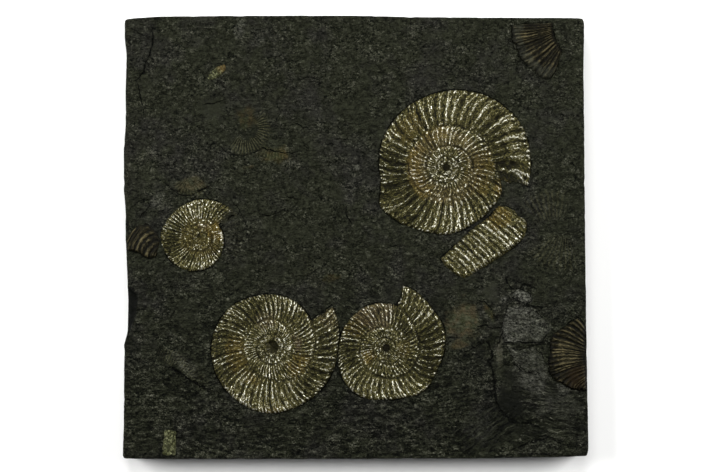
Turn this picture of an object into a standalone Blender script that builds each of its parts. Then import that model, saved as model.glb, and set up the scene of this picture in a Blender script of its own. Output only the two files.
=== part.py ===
"""A slab of black shale with pyritised Dactylioceras shells lying in its top face.

Metres, +Z up. The slab lies flat with its fossils up, its underside on z = 0
and its centre over the origin. +Y is the slab's far edge, +X its right edge.
"""
import math

import bmesh
import bpy
from mathutils import Matrix, Vector

MM = 0.001

# Driving dimensions. Lists of places are in millimetres from the slab's centre.
SLAB_THICKNESS = 15.0 * MM
SLAB_EDGE_CHAMFER = 0.5 * MM
POCKET_DEPTH = 1.2 * MM     # how deep the fossils are sunk in the shale
GAP = 0.3 * MM              # clearance between a fossil and its pocket
FLOOR_STEP = 0.03 * MM      # keeps the floors of neighbouring pockets apart

SLAB_OUTLINE = [
    (-99.5, 93.2), (-98.3, 94.2), (-84.1, 95.1), (-54.0, 95.4), (-2.4, 95.5),
    (24.2, 94.9), (62.1, 94.6), (95.6, 94.5), (97.9, 94.1), (98.4, 92.2),
    (98.1, 69.9), (98.4, 50.5), (98.7, 11.8), (99.1, -22.6), (99.5, -48.4),
    (100.1, -82.8), (100.2, -91.4), (99.5, -94.1), (91.3, -94.5), (53.5, -95.2),
    (-2.4, -95.4), (-66.9, -95.5), (-99.2, -95.3), (-100.2, -94.6), (-100.1, -89.7),
    (-99.8, -80.6), (-99.7, -61.3), (-99.6, -45.8), (-98.3, -41.5), (-98.0, -26.9),
    (-98.5, -10.6), (-99.0, -1.1), (-99.0, 11.8), (-99.8, 20.4), (-99.8, 37.6),
    (-99.0, 48.4), (-99.0, 63.4), (-98.6, 78.9), (-99.4, 85.8),
]

# A chip out of the left edge, and the lower bed that a break has laid bare.
CHIP_CENTRE = (-98.6, -31.9)
CHIP_LENGTH = 19.4 * MM
CHIP_REACH = 5.2 * MM
LOWER_BED_OUTLINE = [
    (60.4, -34.2), (62.9, -39.4), (57.8, -44.5), (59.1, -50.1), (57.8, -53.6),
    (59.5, -57.9), (60.4, -67.3), (62.1, -72.9), (66.4, -78.1), (76.0, -82.0),
    (102.0, -84.0), (102.0, -34.0),
]
LOWER_BED_DEPTH = 0.7 * MM

# Each shell: where its mouth ends in degrees, which way it grows seen from
# above (1 is counter-clockwise), its ribs in a turn, and its rim as pairs of
# turns back from the mouth and radius in millimetres. The last pair is the hub.
SHELLS = {
    "ammonite_large": {
        "centre": (39.1, 30.1), "mouth": -7, "growth": -1, "ribs": 42, "rise": 2.0,
        "rim": [
            (0.0, 35.9), (0.094, 37.0), (0.208, 34.6), (0.333, 31.3), (0.464, 29.7),
            (0.54, 28.8), (0.575, 30.1), (0.603, 32.9), (0.664, 31.0), (0.714, 29.2),
            (0.769, 28.8), (0.839, 26.9), (0.894, 26.1), (0.956, 25.2), (1.0, 22.4),
            (1.144, 19.4), (1.269, 17.8), (1.394, 17.4), (1.519, 16.3), (1.644, 14.8),
            (1.769, 12.9), (2.019, 11.4), (2.269, 9.2), (2.519, 8.6), (2.769, 6.2),
            (3.0, 5.4),
        ],
    },
    "ammonite_lower_left": {
        "centre": (-35.8, -47.3), "mouth": 35, "growth": 1, "ribs": 42, "rise": 1.8,
        "rim": [
            (0.0, 31.4), (0.042, 30.1), (0.097, 28.2), (0.158, 27.9), (0.306, 27.7),
            (0.361, 28.4), (0.472, 27.1), (0.597, 26.0), (0.722, 24.9), (0.792, 23.2),
            (0.931, 21.7), (1.0, 20.0), (1.097, 18.3), (1.222, 16.1), (1.347, 13.8),
            (1.597, 12.7), (1.847, 12.0), (1.972, 10.3), (2.097, 8.6), (2.222, 7.2),
            (2.472, 6.9), (2.75, 5.9),
        ],
    },
    "ammonite_lower_middle": {
        "centre": (13.1, -47.5), "mouth": 75, "growth": 1, "ribs": 42, "rise": 1.8,
        "rim": [
            (0.0, 27.7), (0.083, 26.2), (0.167, 26.2), (0.25, 24.1), (0.36, 24.3),
            (0.403, 22.8), (0.458, 22.4), (0.542, 23.4), (0.625, 22.4), (0.681, 20.9),
            (0.708, 20.3), (0.792, 19.9), (0.903, 19.6), (0.958, 19.1), (1.0, 18.5),
            (1.042, 17.0), (1.125, 14.9), (1.333, 14.0), (1.458, 12.9), (1.708, 11.2),
            (1.958, 8.9), (2.208, 7.1), (2.458, 6.7), (2.75, 5.1),
        ],
    },
    "ammonite_left_small": {
        "centre": (-66.5, 0.2), "mouth": 30, "growth": -1, "ribs": 32, "rise": 1.2,
        "rim": [
            (0.0, 18.3), (0.083, 16.8), (0.167, 16.1), (0.25, 15.7), (0.333, 16.1),
            (0.417, 17.0), (0.542, 16.3), (0.597, 15.7), (0.667, 14.2), (0.833, 10.8),
            (0.917, 9.7), (1.0, 9.0), (1.167, 7.8), (1.417, 7.3), (1.667, 6.0),
            (2.0, 4.4),
        ],
    },
}
WHORL_ROWS = [(0.0, 0.0), (0.3, 0.85), (0.75, 1.0), (1.0, 0.0)]  # place across, height
SEAM_HEIGHT = 0.5       # of a whorl's crest, where it meets the whorl outside it
RIM_HEIGHT = 0.2 * MM   # the rim above the shale
RIB_HEIGHT = 0.22 * MM
INNER_SINK = 0.25       # of the crest's height, lost from the rim to the hub

# Each loose length of whorl: the two long edges that its ribs run between.
FRAGMENTS = {
    "whorl_fragment": {
        "ribs": 14, "rise": 1.7,
        "inner": [
            (35.8, -9.9), (39.3, -6.7), (43.6, -2.5), (47.9, 1.7), (53.2, 5.9),
            (58.2, 9.5), (60.6, 12.9), (64.2, 14.3),
        ],
        "outer": [
            (45.1, -18.1), (48.3, -16.8), (53.5, -13.8), (59.1, -10.3), (64.2, -6.9),
            (68.5, -3.7), (72.8, 1.1), (73.6, 7.4),
        ],
    },
    "ribbed_fragment_top_right": {
        "ribs": 10, "rise": 1.0,
        "inner": [(84.7, 92.0), (85.1, 86.6), (86.2, 84.0), (87.5, 81.8), (89.0, 80.0)],
        "outer": [
            (67.2, 91.8), (67.5, 85.8), (69.5, 81.9), (70.9, 77.6), (74.1, 73.7),
            (77.5, 70.7), (80.6, 68.4), (84.5, 68.2),
        ],
    },
    "ribbed_fragment_left_edge": {
        "ribs": 6, "rise": 0.9,
        "inner": [
            (-98.4, 0.4), (-94.2, 4.5), (-91.4, 5.4), (-87.6, 4.0), (-85.4, 1.9),
            (-83.9, -1.1),
        ],
        "outer": [
            (-98.2, -5.6), (-95.3, -5.9), (-92.6, -6.6), (-90.6, -8.3), (-88.6, -8.9),
            (-86.2, -8.4),
        ],
    },
    "ribbed_fragment_right_edge": {
        "ribs": 13, "rise": 1.3,
        "inner": [
            (96.0, -34.9), (98.6, -38.1), (98.7, -42.0), (98.8, -46.3), (98.8, -50.6),
            (98.9, -54.0), (99.0, -58.0), (99.1, -61.5), (99.2, -65.6),
        ],
        "outer": [
            (93.0, -35.9), (90.5, -38.1), (87.4, -39.8), (84.8, -42.0), (83.7, -49.3),
            (83.1, -55.0), (84.6, -60.0), (89.2, -63.0), (95.2, -65.4),
        ],
    },
}

TAB = {"centre": (-80.0, -88.4), "size": (5.4, 10.4), "rise": 0.7, "turn": -3}
SLIVER = {"centre": (-59.8, 70.9), "size": (9.6, 2.3), "rise": 0.6, "turn": 38}

# Colour, roughness and metallic value of each finish.
FINISHES = {
    "shale": ((0.023, 0.024, 0.017), 0.62, 0.0),
    "pyrite": ((0.26, 0.23, 0.12), 0.42, 0.75),
    "dull_pyrite": ((0.09, 0.075, 0.045), 0.55, 0.35),
}
FINISH_OF = {
    "shale_slab": "shale",
    "ribbed_fragment_top_right": "dull_pyrite",
    "ribbed_fragment_left_edge": "dull_pyrite",
    "ribbed_fragment_right_edge": "dull_pyrite",
}


def clear_scene():
    for item in list(bpy.data.objects):
        bpy.data.objects.remove(item, do_unlink=True)


def make_collection(name):
    collection = bpy.data.collections.new(name)
    bpy.context.scene.collection.children.link(collection)
    return collection


def make_material(name):
    colour, roughness, metallic = FINISHES[FINISH_OF.get(name, "pyrite")]
    material = bpy.data.materials.new(name)
    material.use_nodes = True
    shader = material.node_tree.nodes["Principled BSDF"]
    shader.inputs["Base Color"].default_value = (*colour, 1.0)
    shader.inputs["Roughness"].default_value = roughness
    shader.inputs["Metallic"].default_value = metallic
    material.diffuse_color = (*colour, 1.0)
    return material


def add_object(name, bm, collection):
    """Make a named object of a bmesh, with its faces turned outwards."""
    bmesh.ops.recalc_face_normals(bm, faces=bm.faces)
    mesh = bpy.data.meshes.new(name)
    bm.to_mesh(mesh)
    bm.free()
    obj = bpy.data.objects.new(name, mesh)
    collection.objects.link(obj)
    return obj


def finish_part(obj):
    """Give a part its material and smooth shading between its sharp edges."""
    obj.data.materials.append(make_material(obj.name))
    obj.data.shade_smooth()
    obj.data.set_sharp_from_angle(angle=math.radians(35))


def smooth_value(points, x):
    """Read a smooth curve through (x, value) pairs, which are in order of x."""
    index = 0
    while index < len(points) - 2 and points[index + 1][0] <= x:
        index += 1

    def slope(at):
        before, after = max(at - 1, 0), min(at + 1, len(points) - 1)
        run = points[after][0] - points[before][0]
        return (points[after][1] - points[before][1]) / run

    (x0, y0), (x1, y1) = points[index], points[index + 1]
    span = x1 - x0
    t = (x - x0) / span
    return (
        y0 * (1 + 2 * t) * (1 - t) ** 2
        + slope(index) * span * t * (1 - t) ** 2
        + y1 * t * t * (3 - 2 * t)
        + slope(index + 1) * span * t * t * (t - 1)
    )


def smooth_path(points, count):
    """Spread count + 1 points along a smooth curve through the points."""
    travel = [0.0]
    for a, b in zip(points, points[1:]):
        travel.append(travel[-1] + math.dist(a, b))
    across = [(s, p[0]) for s, p in zip(travel, points)]
    along = [(s, p[1]) for s, p in zip(travel, points)]
    steps = [travel[-1] * i / count for i in range(count + 1)]
    return [(smooth_value(across, s), smooth_value(along, s)) for s in steps]


def grow(outline, margin):
    """Move a closed outline's points outwards by a margin."""
    area = sum(
        a[0] * b[1] - b[0] * a[1] for a, b in zip(outline, outline[1:] + outline[:1])
    )
    side = 1 if area > 0 else -1
    grown = []
    for i, point in enumerate(outline):
        here = Vector(point)
        before = (here - Vector(outline[i - 1])).normalized()
        after = (Vector(outline[(i + 1) % len(outline)]) - here).normalized()
        middle = (before + after).normalized()
        stretch = 1 / max(middle.dot(after), 0.6)
        outward = Vector((middle.y, -middle.x)) * side
        grown.append(tuple(here + outward * margin * stretch))
    return grown


def flat_block(name, outline, bottom, top, collection, chamfer=0.0):
    """Make a solid of a closed outline between two heights."""
    curve = bpy.data.curves.new(name, "CURVE")
    curve.dimensions = "2D"
    curve.fill_mode = "BOTH"
    curve.extrude = (top - bottom) / 2 - chamfer
    curve.bevel_depth = chamfer
    curve.bevel_resolution = 0
    curve.offset = -chamfer
    spline = curve.splines.new("POLY")
    spline.points.add(len(outline) - 1)
    for point, (x, y) in zip(spline.points, outline):
        point.co = (x, y, 0.0, 1.0)
    spline.use_cyclic_u = True
    drawn = bpy.data.objects.new(name + "_outline", curve)
    collection.objects.link(drawn)
    depsgraph = bpy.context.evaluated_depsgraph_get()
    mesh = bpy.data.meshes.new_from_object(drawn.evaluated_get(depsgraph))
    bm = bmesh.new()
    bm.from_mesh(mesh)
    bmesh.ops.remove_doubles(bm, verts=bm.verts, dist=0.00001)
    bmesh.ops.translate(bm, verts=bm.verts, vec=(0, 0, (top + bottom) / 2))
    bpy.data.objects.remove(drawn, do_unlink=True)
    bpy.data.curves.remove(curve)
    bpy.data.meshes.remove(mesh)
    return add_object(name, bm, collection)


def close_below(bm, loop, bottom):
    """Wall a raised surface down from its outline, and close it underneath."""
    below = [bm.verts.new((v.co.x, v.co.y, bottom)) for v in loop]
    for i, vert in enumerate(loop):
        j = (i + 1) % len(loop)
        bm.faces.new((vert, loop[j], below[j], below[i]))
    bm.faces.new(below)


def shell_radius(shell, turns):
    return smooth_value(shell["rim"], turns) * MM


def shell_point(shell, turns, radius):
    angle = math.radians(shell["mouth"]) - shell["growth"] * math.tau * turns
    x, y = (value * MM for value in shell["centre"])
    return x + radius * math.cos(angle), y + radius * math.sin(angle)


def shell_outline(shell):
    """Outline of the outer turn, with a point for each rib that clears its neighbours."""
    ribs = shell["ribs"]
    outline = []
    for i in range(ribs + 1):
        near = [max(i + side, 0) / ribs for side in (-0.5, 0, 0.5)]
        radius = max(shell_radius(shell, turns) for turns in near)
        outline.append(shell_point(shell, i / ribs, radius))
    return outline


def add_shell(name, shell, top, collection):
    """Loft a coiled, ribbed shell whose turns share their seams.

    Each section runs across one turn, from the rim of the turn inside it to
    its own rim, so a seam's points are made once and used by both turns.
    """
    around = 2 * shell["ribs"]
    whole = shell["rim"][-1][0]
    last = round(whole * around)
    rise = shell["rise"] * MM
    hub_radius = shell_radius(shell, whole)
    bm = bmesh.new()
    hub_height = top + rise * SEAM_HEIGHT * (1 - INNER_SINK)
    hub = []
    for i in range(around):
        x, y = shell_point(shell, whole - i / around, hub_radius)
        hub.append(bm.verts.new((x, y, hub_height)))

    rims = {}
    sections = {}
    for i in range(last, -1, -1):
        back = i / around
        if i == last:
            rims[i] = hub[0]
            sections[i] = [hub[0]] * len(WHORL_ROWS)
            continue
        inner_vert = rims[i + around] if i + around <= last else hub[(last - i) % around]
        inner_radius = Vector((
            inner_vert.co.x - shell["centre"][0] * MM,
            inner_vert.co.y - shell["centre"][1] * MM,
        )).length
        outer_radius = shell_radius(shell, back)
        crest = rise * (1 - INNER_SINK * back / whole)
        seam = RIM_HEIGHT if i <= around else crest * SEAM_HEIGHT
        rib = RIB_HEIGHT * (1 if i % 2 else -1)
        section = [inner_vert]
        for place, height in WHORL_ROWS[1:]:
            radius = inner_radius + (outer_radius - inner_radius) * place
            x, y = shell_point(shell, back, radius)
            bump = seam + (crest - seam + rib) * height
            section.append(bm.verts.new((x, y, top + bump)))
        sections[i] = section
        rims[i] = section[-1]

    for i in range(last):
        near, far = sections[i], sections[i + 1]
        for j in range(len(WHORL_ROWS) - 1):
            corners = [near[j], near[j + 1], far[j + 1], far[j]]
            corners = list(dict.fromkeys(corners))
            if len(corners) > 2:
                bm.faces.new(corners)
    pit = bm.verts.new((
        shell["centre"][0] * MM, shell["centre"][1] * MM, top + RIM_HEIGHT,
    ))
    for i, vert in enumerate(hub):
        bm.faces.new((vert, hub[(i + 1) % around], pit))

    loop = [rims[i] for i in range(around + 1)] + sections[0][1:-1]
    close_below(bm, loop, top - POCKET_DEPTH + GAP)
    return add_object(name, bm, collection)


def fragment_edges(fragment):
    count = 2 * fragment["ribs"]
    inner = smooth_path(fragment["inner"], count)
    outer = smooth_path(fragment["outer"], count)
    return inner, outer


def fragment_outline(fragment):
    inner, outer = fragment_edges(fragment)
    return [(x * MM, y * MM) for x, y in inner[::2] + outer[::-2]]


def add_fragment(name, fragment, top, collection):
    """Loft a loose length of whorl between its two long edges, with its ribs."""
    inner, outer = fragment_edges(fragment)
    rise = fragment["rise"] * MM
    bm = bmesh.new()
    sections = []
    for i, (start, end) in enumerate(zip(inner, outer)):
        rib = RIB_HEIGHT * (1 if i % 2 else -1)
        section = []
        for place, height in WHORL_ROWS:
            x, y = Vector(start).lerp(Vector(end), place) * MM
            bump = RIM_HEIGHT + (rise - RIM_HEIGHT + rib) * height
            section.append(bm.verts.new((x, y, top + bump)))
        sections.append(section)
    for near, far in zip(sections, sections[1:]):
        for j in range(len(WHORL_ROWS) - 1):
            bm.faces.new((near[j], near[j + 1], far[j + 1], far[j]))
    loop = [s[0] for s in sections] + sections[-1][1:-1]
    loop += [s[-1] for s in reversed(sections)] + sections[0][-2:0:-1]
    close_below(bm, loop, top - POCKET_DEPTH + GAP)
    return add_object(name, bm, collection)


def turned_place(spec, height):
    x, y = spec["centre"]
    place = Matrix.Translation((x * MM, y * MM, height))
    return place @ Matrix.Rotation(math.radians(spec["turn"]), 4, "Z")


def add_tab(name, top, collection):
    """The small rough block: a cube at its size, with its edges taken off."""
    bottom = top - POCKET_DEPTH + GAP
    height = top + TAB["rise"] * MM - bottom
    bm = bmesh.new()
    bmesh.ops.create_cube(bm, size=1.0)
    size = (TAB["size"][0] * MM, TAB["size"][1] * MM, height)
    bmesh.ops.scale(bm, verts=bm.verts, vec=size)
    upper = [e for e in bm.edges if sum(v.co.z for v in e.verts) > 0.9 * height]
    bmesh.ops.bevel(
        bm, geom=upper, offset=0.4 * MM, segments=2, affect="EDGES", profile=0.5
    )
    bm.transform(turned_place(TAB, bottom + height / 2))
    return add_object(name, bm, collection)


def add_sliver(name, top, collection):
    """The splinter of shell: a flattened ball, cut off flat underneath."""
    bottom = top - POCKET_DEPTH + GAP
    height = top + SLIVER["rise"] * MM - bottom
    bm = bmesh.new()
    bmesh.ops.create_uvsphere(bm, u_segments=20, v_segments=8, radius=0.5)
    bmesh.ops.bisect_plane(
        bm, geom=bm.verts[:] + bm.edges[:] + bm.faces[:],
        plane_co=(0, 0, 0), plane_no=(0, 0, 1), clear_inner=True, dist=0.0001,
    )
    bmesh.ops.holes_fill(bm, edges=[e for e in bm.edges if e.is_boundary])
    size = (SLIVER["size"][0] * MM, SLIVER["size"][1] * MM, 2 * height)
    bmesh.ops.scale(bm, verts=bm.verts, vec=size)
    bm.transform(turned_place(SLIVER, bottom))
    return add_object(name, bm, collection)


def tab_outline():
    half_x, half_y = (value * MM / 2 for value in TAB["size"])
    corners = [(-half_x, -half_y), (half_x, -half_y), (half_x, half_y), (-half_x, half_y)]
    return [tuple((turned_place(TAB, 0) @ Vector((*c, 0))).xy) for c in corners]


def sliver_outline(count=20):
    half_x, half_y = (value * MM / 2 for value in SLIVER["size"])
    ring = []
    for i in range(count):
        angle = math.tau * i / count
        point = Vector((half_x * math.cos(angle), half_y * math.sin(angle), 0))
        ring.append(tuple((turned_place(SLIVER, 0) @ point).xy))
    return ring


def add_cut(obj, cutter):
    cutter.hide_render = True
    cutter.display_type = "WIRE"
    cut = obj.modifiers.new(cutter.name, "BOOLEAN")
    cut.operation = "DIFFERENCE"
    cut.solver = "EXACT"
    cut.object = cutter


def add_chip_cutter(collection):
    """A block turned on its edge, which takes a chip off the slab's rim."""
    bm = bmesh.new()
    bmesh.ops.create_cube(bm, size=1.0)
    size = (CHIP_REACH * 2, CHIP_LENGTH, CHIP_REACH * 2)
    bmesh.ops.scale(bm, verts=bm.verts, vec=size)
    tilt = Matrix.Rotation(math.radians(-40), 4, "Y")
    shift = Matrix.Translation((0, 0, CHIP_REACH))
    x, y = CHIP_CENTRE
    corner = Matrix.Translation((x * MM, y * MM, SLAB_THICKNESS - 0.55 * CHIP_REACH))
    bm.transform(corner @ tilt @ shift)
    return add_object("chip_cutter", bm, collection)


def add_lower_bed_cutter(collection):
    """A thin wedge, deepest at the step and running out at the right edge."""
    outline = [(x * MM, y * MM) for x, y in LOWER_BED_OUTLINE]
    block = flat_block("lower_bed_cutter", outline, 0.0, 3 * MM, collection)
    left = min(x for x, y in outline)
    right = max(x for x, y in outline)
    slope = math.atan2(LOWER_BED_DEPTH, right - left)
    pivot = Vector((left, 0, 0))
    turn = Matrix.Translation(pivot) @ Matrix.Rotation(-slope, 4, "Y")
    drop = Matrix.Translation((0, 0, SLAB_THICKNESS - LOWER_BED_DEPTH))
    block.data.transform(drop @ turn @ Matrix.Translation(-pivot))
    return block


def add_slab(pockets, parts, cutters):
    outline = [(x * MM, y * MM) for x, y in SLAB_OUTLINE]
    slab = flat_block(
        "shale_slab", outline, 0.0, SLAB_THICKNESS, parts, chamfer=SLAB_EDGE_CHAMFER
    )
    add_cut(slab, add_chip_cutter(cutters))
    add_cut(slab, add_lower_bed_cutter(cutters))
    for i, (name, pocket) in enumerate(pockets.items()):
        floor = SLAB_THICKNESS - POCKET_DEPTH - i * FLOOR_STEP
        above = SLAB_THICKNESS + POCKET_DEPTH
        wide = grow(pocket, GAP)
        add_cut(slab, flat_block(name + "_pocket", wide, floor, above, cutters))
    return slab


def main():
    clear_scene()
    parts = make_collection("dactylioceras_cluster")
    cutters = make_collection("cutters")
    top = SLAB_THICKNESS

    pockets = {}
    fossils = []
    for name, shell in SHELLS.items():
        fossils.append(add_shell(name, shell, top, parts))
        pockets[name] = shell_outline(shell)
    for name, fragment in FRAGMENTS.items():
        fossils.append(add_fragment(name, fragment, top, parts))
        pockets[name] = fragment_outline(fragment)
    fossils.append(add_tab("pyrite_tab", top, parts))
    pockets["pyrite_tab"] = tab_outline()
    fossils.append(add_sliver("shell_sliver", top, parts))
    pockets["shell_sliver"] = sliver_outline()

    slab = add_slab(pockets, parts, cutters)
    for part in [slab, *fossils]:
        finish_part(part)


main()
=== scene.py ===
import math

import bmesh
import bpy
import numpy as np
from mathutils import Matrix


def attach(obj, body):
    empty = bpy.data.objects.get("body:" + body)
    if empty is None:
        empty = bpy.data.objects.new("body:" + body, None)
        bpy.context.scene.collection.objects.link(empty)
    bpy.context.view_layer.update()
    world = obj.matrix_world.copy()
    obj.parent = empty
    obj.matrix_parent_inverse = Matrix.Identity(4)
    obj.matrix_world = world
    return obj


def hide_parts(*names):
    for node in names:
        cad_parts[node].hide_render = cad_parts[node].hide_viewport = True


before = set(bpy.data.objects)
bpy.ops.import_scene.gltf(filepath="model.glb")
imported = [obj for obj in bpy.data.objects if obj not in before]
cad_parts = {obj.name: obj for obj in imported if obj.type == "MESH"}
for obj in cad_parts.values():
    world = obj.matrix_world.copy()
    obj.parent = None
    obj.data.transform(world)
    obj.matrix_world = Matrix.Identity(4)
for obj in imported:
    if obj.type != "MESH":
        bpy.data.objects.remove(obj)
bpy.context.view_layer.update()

mm = 0.001
bed = 15 * mm          # height of the slab's top face, where the fossils lie


# Small tools used all through

def clearSelection():
    if bpy.context.mode != "OBJECT":
        bpy.ops.object.mode_set(mode="OBJECT")
    bpy.ops.object.select_all(action="DESELECT")


def readPlaces(piece):
    places = np.empty(len(piece.data.vertices) * 3)
    piece.data.vertices.foreach_get("co", places)
    return places.reshape(-1, 3)


def writePlaces(piece, *places):
    piece.data.vertices.foreach_set("co", np.stack(places, -1).ravel())
    piece.data.update()


def paint(piece, marks):   # values at every point, which the materials read by name
    for name, values in marks.items():
        mark = piece.data.attributes.new(name, "FLOAT", "POINT")
        mark.data.foreach_set("value", np.clip(values, 0, 1).astype(np.float32))


def ease(low, high, value):   # 0 below low, 1 above high, and smooth between them
    part = np.clip((value - low) / (high - low), 0, 1)
    return part * part * (3 - 2 * part)


def smoothRead(pairs, at):   # a smooth curve through pairs of place and value
    places, values = np.array(pairs, float).T
    slopes = np.gradient(values, places)
    at = np.clip(at, places[0], places[-1])
    i = np.clip(np.searchsorted(places, at, side="right") - 1, 0, len(places) - 2)
    span = places[i + 1] - places[i]
    t = (at - places[i]) / span
    return (values[i] * (1 + 2 * t) * (1 - t) ** 2 + slopes[i] * span * t * (1 - t) ** 2
            + values[i + 1] * t * t * (3 - 2 * t) + slopes[i + 1] * span * t * t * (t - 1))


def smoothLine(points, count):   # evenly spaced points on a smooth curve through the given ones
    points = np.array(points, float)
    travel = np.append(0, np.cumsum(np.hypot(*np.diff(points, axis=0).T)))
    at = np.linspace(0, travel[-1], count)
    return np.stack([smoothRead(list(zip(travel, points[:, k])), at) for k in (0, 1)], -1)


def hills(x, y, size, seed):   # smooth random hills of about that size, from -1 to 1
    turns = np.random.default_rng(seed).uniform(0, math.tau, (64, 64))
    gridX, gridY = x / size + 101.7, y / size + 57.3   # the slab's middle isn't on a grid point
    left, low = np.floor(gridX).astype(int), np.floor(gridY).astype(int)
    total = np.zeros(np.shape(gridX))
    for i in (0, 1):
        for j in (0, 1):
            dx, dy = gridX - left - i, gridY - low - j
            turn = turns[(left + i) % 64, (low + j) % 64]
            weight = ease(0, 1, 1 - abs(dx)) * ease(0, 1, 1 - abs(dy))
            total += weight * (np.cos(turn) * dx + np.sin(turn) * dy)
    return total * 1.5


def roughGround(x, y, size, seed, layers=4, fall=0.55):   # hills with smaller hills on them
    total = np.zeros(np.shape(x))
    for layer in range(layers):
        c, s = math.cos(0.7 * layer), math.sin(0.7 * layer)
        total += fall ** layer * hills(x * c - y * s, x * s + y * c, size / 2 ** layer, seed + layer)
    return total


def wander(x, y, far, size, seedX, seedY):   # places moved about, so that straight lines go ragged
    return x + far * hills(x, y, size, seedX), y + far * hills(x, y, size, seedY)


def distanceTo(x, y, line, closed=False):   # metres to a line drawn in metres, and the side of it
    nearest = np.full(np.shape(x), 1e3)
    side = np.zeros(np.shape(x))
    points = list(line) + ([line[0]] if closed else [])
    for (ax, ay), (bx, by) in zip(points, points[1:]):
        runX, runY = bx - ax, by - ay
        t = np.clip(((x - ax) * runX + (y - ay) * runY) / (runX ** 2 + runY ** 2 + 1e-12), 0, 1)
        away = np.hypot(x - ax - t * runX, y - ay - t * runY)
        closer = away < nearest
        nearest = np.where(closer, away, nearest)
        side = np.where(closer, np.sign(runX * (y - ay) - runY * (x - ax)), side)
    return nearest, side


def isInside(x, y, outline):
    inside = np.zeros(np.shape(x), bool)
    for (ax, ay), (bx, by) in zip(outline, np.roll(outline, -1, axis=0)):
        crosses = (ay > y) != (by > y)
        inside ^= crosses & (x < (bx - ax) * (y - ay) / (by - ay + 1e-15) + ax)
    return inside


def outlineGap(x, y, outline, reach):   # signed distance to a closed outline, negative inside it
    low, high = outline.min(0) - reach, outline.max(0) + reach
    near = (x > low[0]) & (x < high[0]) & (y > low[1]) & (y < high[1])
    gap = np.full(np.shape(x), reach)
    away, _ = distanceTo(x[near], y[near], outline, closed=True)
    gap[near] = np.where(isInside(x[near], y[near], outline), -away, np.minimum(away, reach))
    return gap


def ringPart(x, y, centre, start, stop, first, last):   # 1 in a part of a ring, degrees and millimetres
    dx, dy = x - centre[0] * mm, y - centre[1] * mm
    radius, angle = np.hypot(dx, dy) / mm, np.degrees(np.arctan2(dy, dx))
    around = abs((angle - (start + stop) / 2 + 180) % 360 - 180)
    half = (stop - start) / 2
    inRange = ease(half + 6, half - 6, around) if half < 175 else 1.0
    return ease(first - 1, first + 1, radius) * ease(last + 1, last - 1, radius) * inRange


def paintZones(piece, x, y, look):   # stained parts of a shell, parts with a painted highlight and parts with a painted shade, all with ragged edges
    seed = look["seed"]
    for k, (mark, sectors) in enumerate(look.get("zones", {}).items()):
        wx, wy = wander(x, y, 1.3 * mm, 3 * mm, seed + 60 + k, seed + 70 + k)
        total = np.zeros(len(x))
        for start, stop, first, last, amount in sectors:
            total = np.maximum(total, amount * ringPart(wx, wy, look["centre"], start, stop, first, last))
        paint(piece, {mark: total * np.clip(0.85 + 0.5 * hills(x, y, 2 * mm, seed + 80 + k), 0, 1)})


def layGrain(piece, along, across):   # the UV map runs along and across the ribs, in metres
    corners = np.empty(len(piece.data.loops), int)
    piece.data.loops.foreach_get("vertex_index", corners)
    places = np.stack([along[corners], across[corners]], -1)
    piece.data.uv_layers.active.data.foreach_set("uv", places.ravel())


def addGrid(cellsX, cellsY, size=1, height=0.0):
    bpy.ops.mesh.primitive_grid_add(
        x_subdivisions=cellsX, y_subdivisions=cellsY, size=size, location=(0, 0, height))
    return bpy.context.object


def extrudeDown(depth):
    bpy.ops.mesh.extrude_edges_move(TRANSFORM_OT_translate={"value": (0, 0, -depth)})


def openEdges(piece, keep=lambda middle: True):   # selects the open edges whose middle passes a test
    bpy.ops.mesh.select_mode(type="EDGE")
    bpy.ops.mesh.select_all(action="DESELECT")
    mesh = bmesh.from_edit_mesh(piece.data)
    for edge in mesh.edges:
        if edge.is_boundary and keep((edge.verts[0].co + edge.verts[1].co) / 2):
            edge.select_set(True)
    bmesh.update_edit_mesh(piece.data)


def wallDown(piece, floor):   # a wall from the open rim, closed underneath
    bpy.ops.object.mode_set(mode="EDIT")
    openEdges(piece)
    extrudeDown(1 * mm)
    bpy.ops.transform.resize(value=(1, 1, 0))
    mesh = bmesh.from_edit_mesh(piece.data)
    for vert in mesh.verts:
        if vert.select:
            vert.co.z = floor
    bmesh.update_edit_mesh(piece.data)
    bpy.ops.mesh.edge_face_add()
    bpy.ops.object.mode_set(mode="OBJECT")


def finishPiece(piece, name, material):
    bpy.ops.object.mode_set(mode="EDIT")
    bpy.ops.mesh.select_all(action="SELECT")
    bpy.ops.mesh.normals_make_consistent(inside=False)
    bpy.ops.object.mode_set(mode="OBJECT")
    bpy.ops.object.shade_smooth()
    piece.name = name + "_look"
    piece.data.materials.clear()
    piece.data.materials.append(material)
    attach(piece, "root")
    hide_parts(name)
    print("made", name, len(piece.data.polygons), "faces")


# Building materials out of nodes

def screen(*shades):   # a colour as a screen shows it, as the shader wants it
    return tuple(((v / 255 + 0.055) / 1.055) ** 2.4 if v > 10 else v / 3295 for v in shades) + (1,)


def feed(tree, sockets, values):   # wires from other nodes, or plain values
    for name, value in values.items():
        if isinstance(value, bpy.types.NodeSocket):
            tree.links.new(value, sockets[name])
        else:
            sockets[name].default_value = value


def put(tree, kind, wires, **settings):   # a node, with its settings and what goes into it
    node = tree.nodes.new("ShaderNode" + kind)
    for setting, value in settings.items():
        setattr(node, setting, value)
    feed(tree, node.inputs, wires)
    return node.outputs


def maths(tree, operation, first, second=0.0):
    return put(tree, "Math", {0: first, 1: second}, operation=operation)[0]


def times(tree, first, *others):
    for other in others:
        first = maths(tree, "MULTIPLY", first, other)
    return first


def largest(tree, first, *others):
    for other in others:
        first = maths(tree, "MAXIMUM", first, other)
    return first


def less(tree, first, second=0.5):
    return maths(tree, "SUBTRACT", first, second)


def addUp(tree, *parts):   # a sum of values, each with its weight
    total = None
    for value, weight in parts:
        part = times(tree, value, weight)
        total = part if total is None else maths(tree, "ADD", total, part)
    return total


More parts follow.
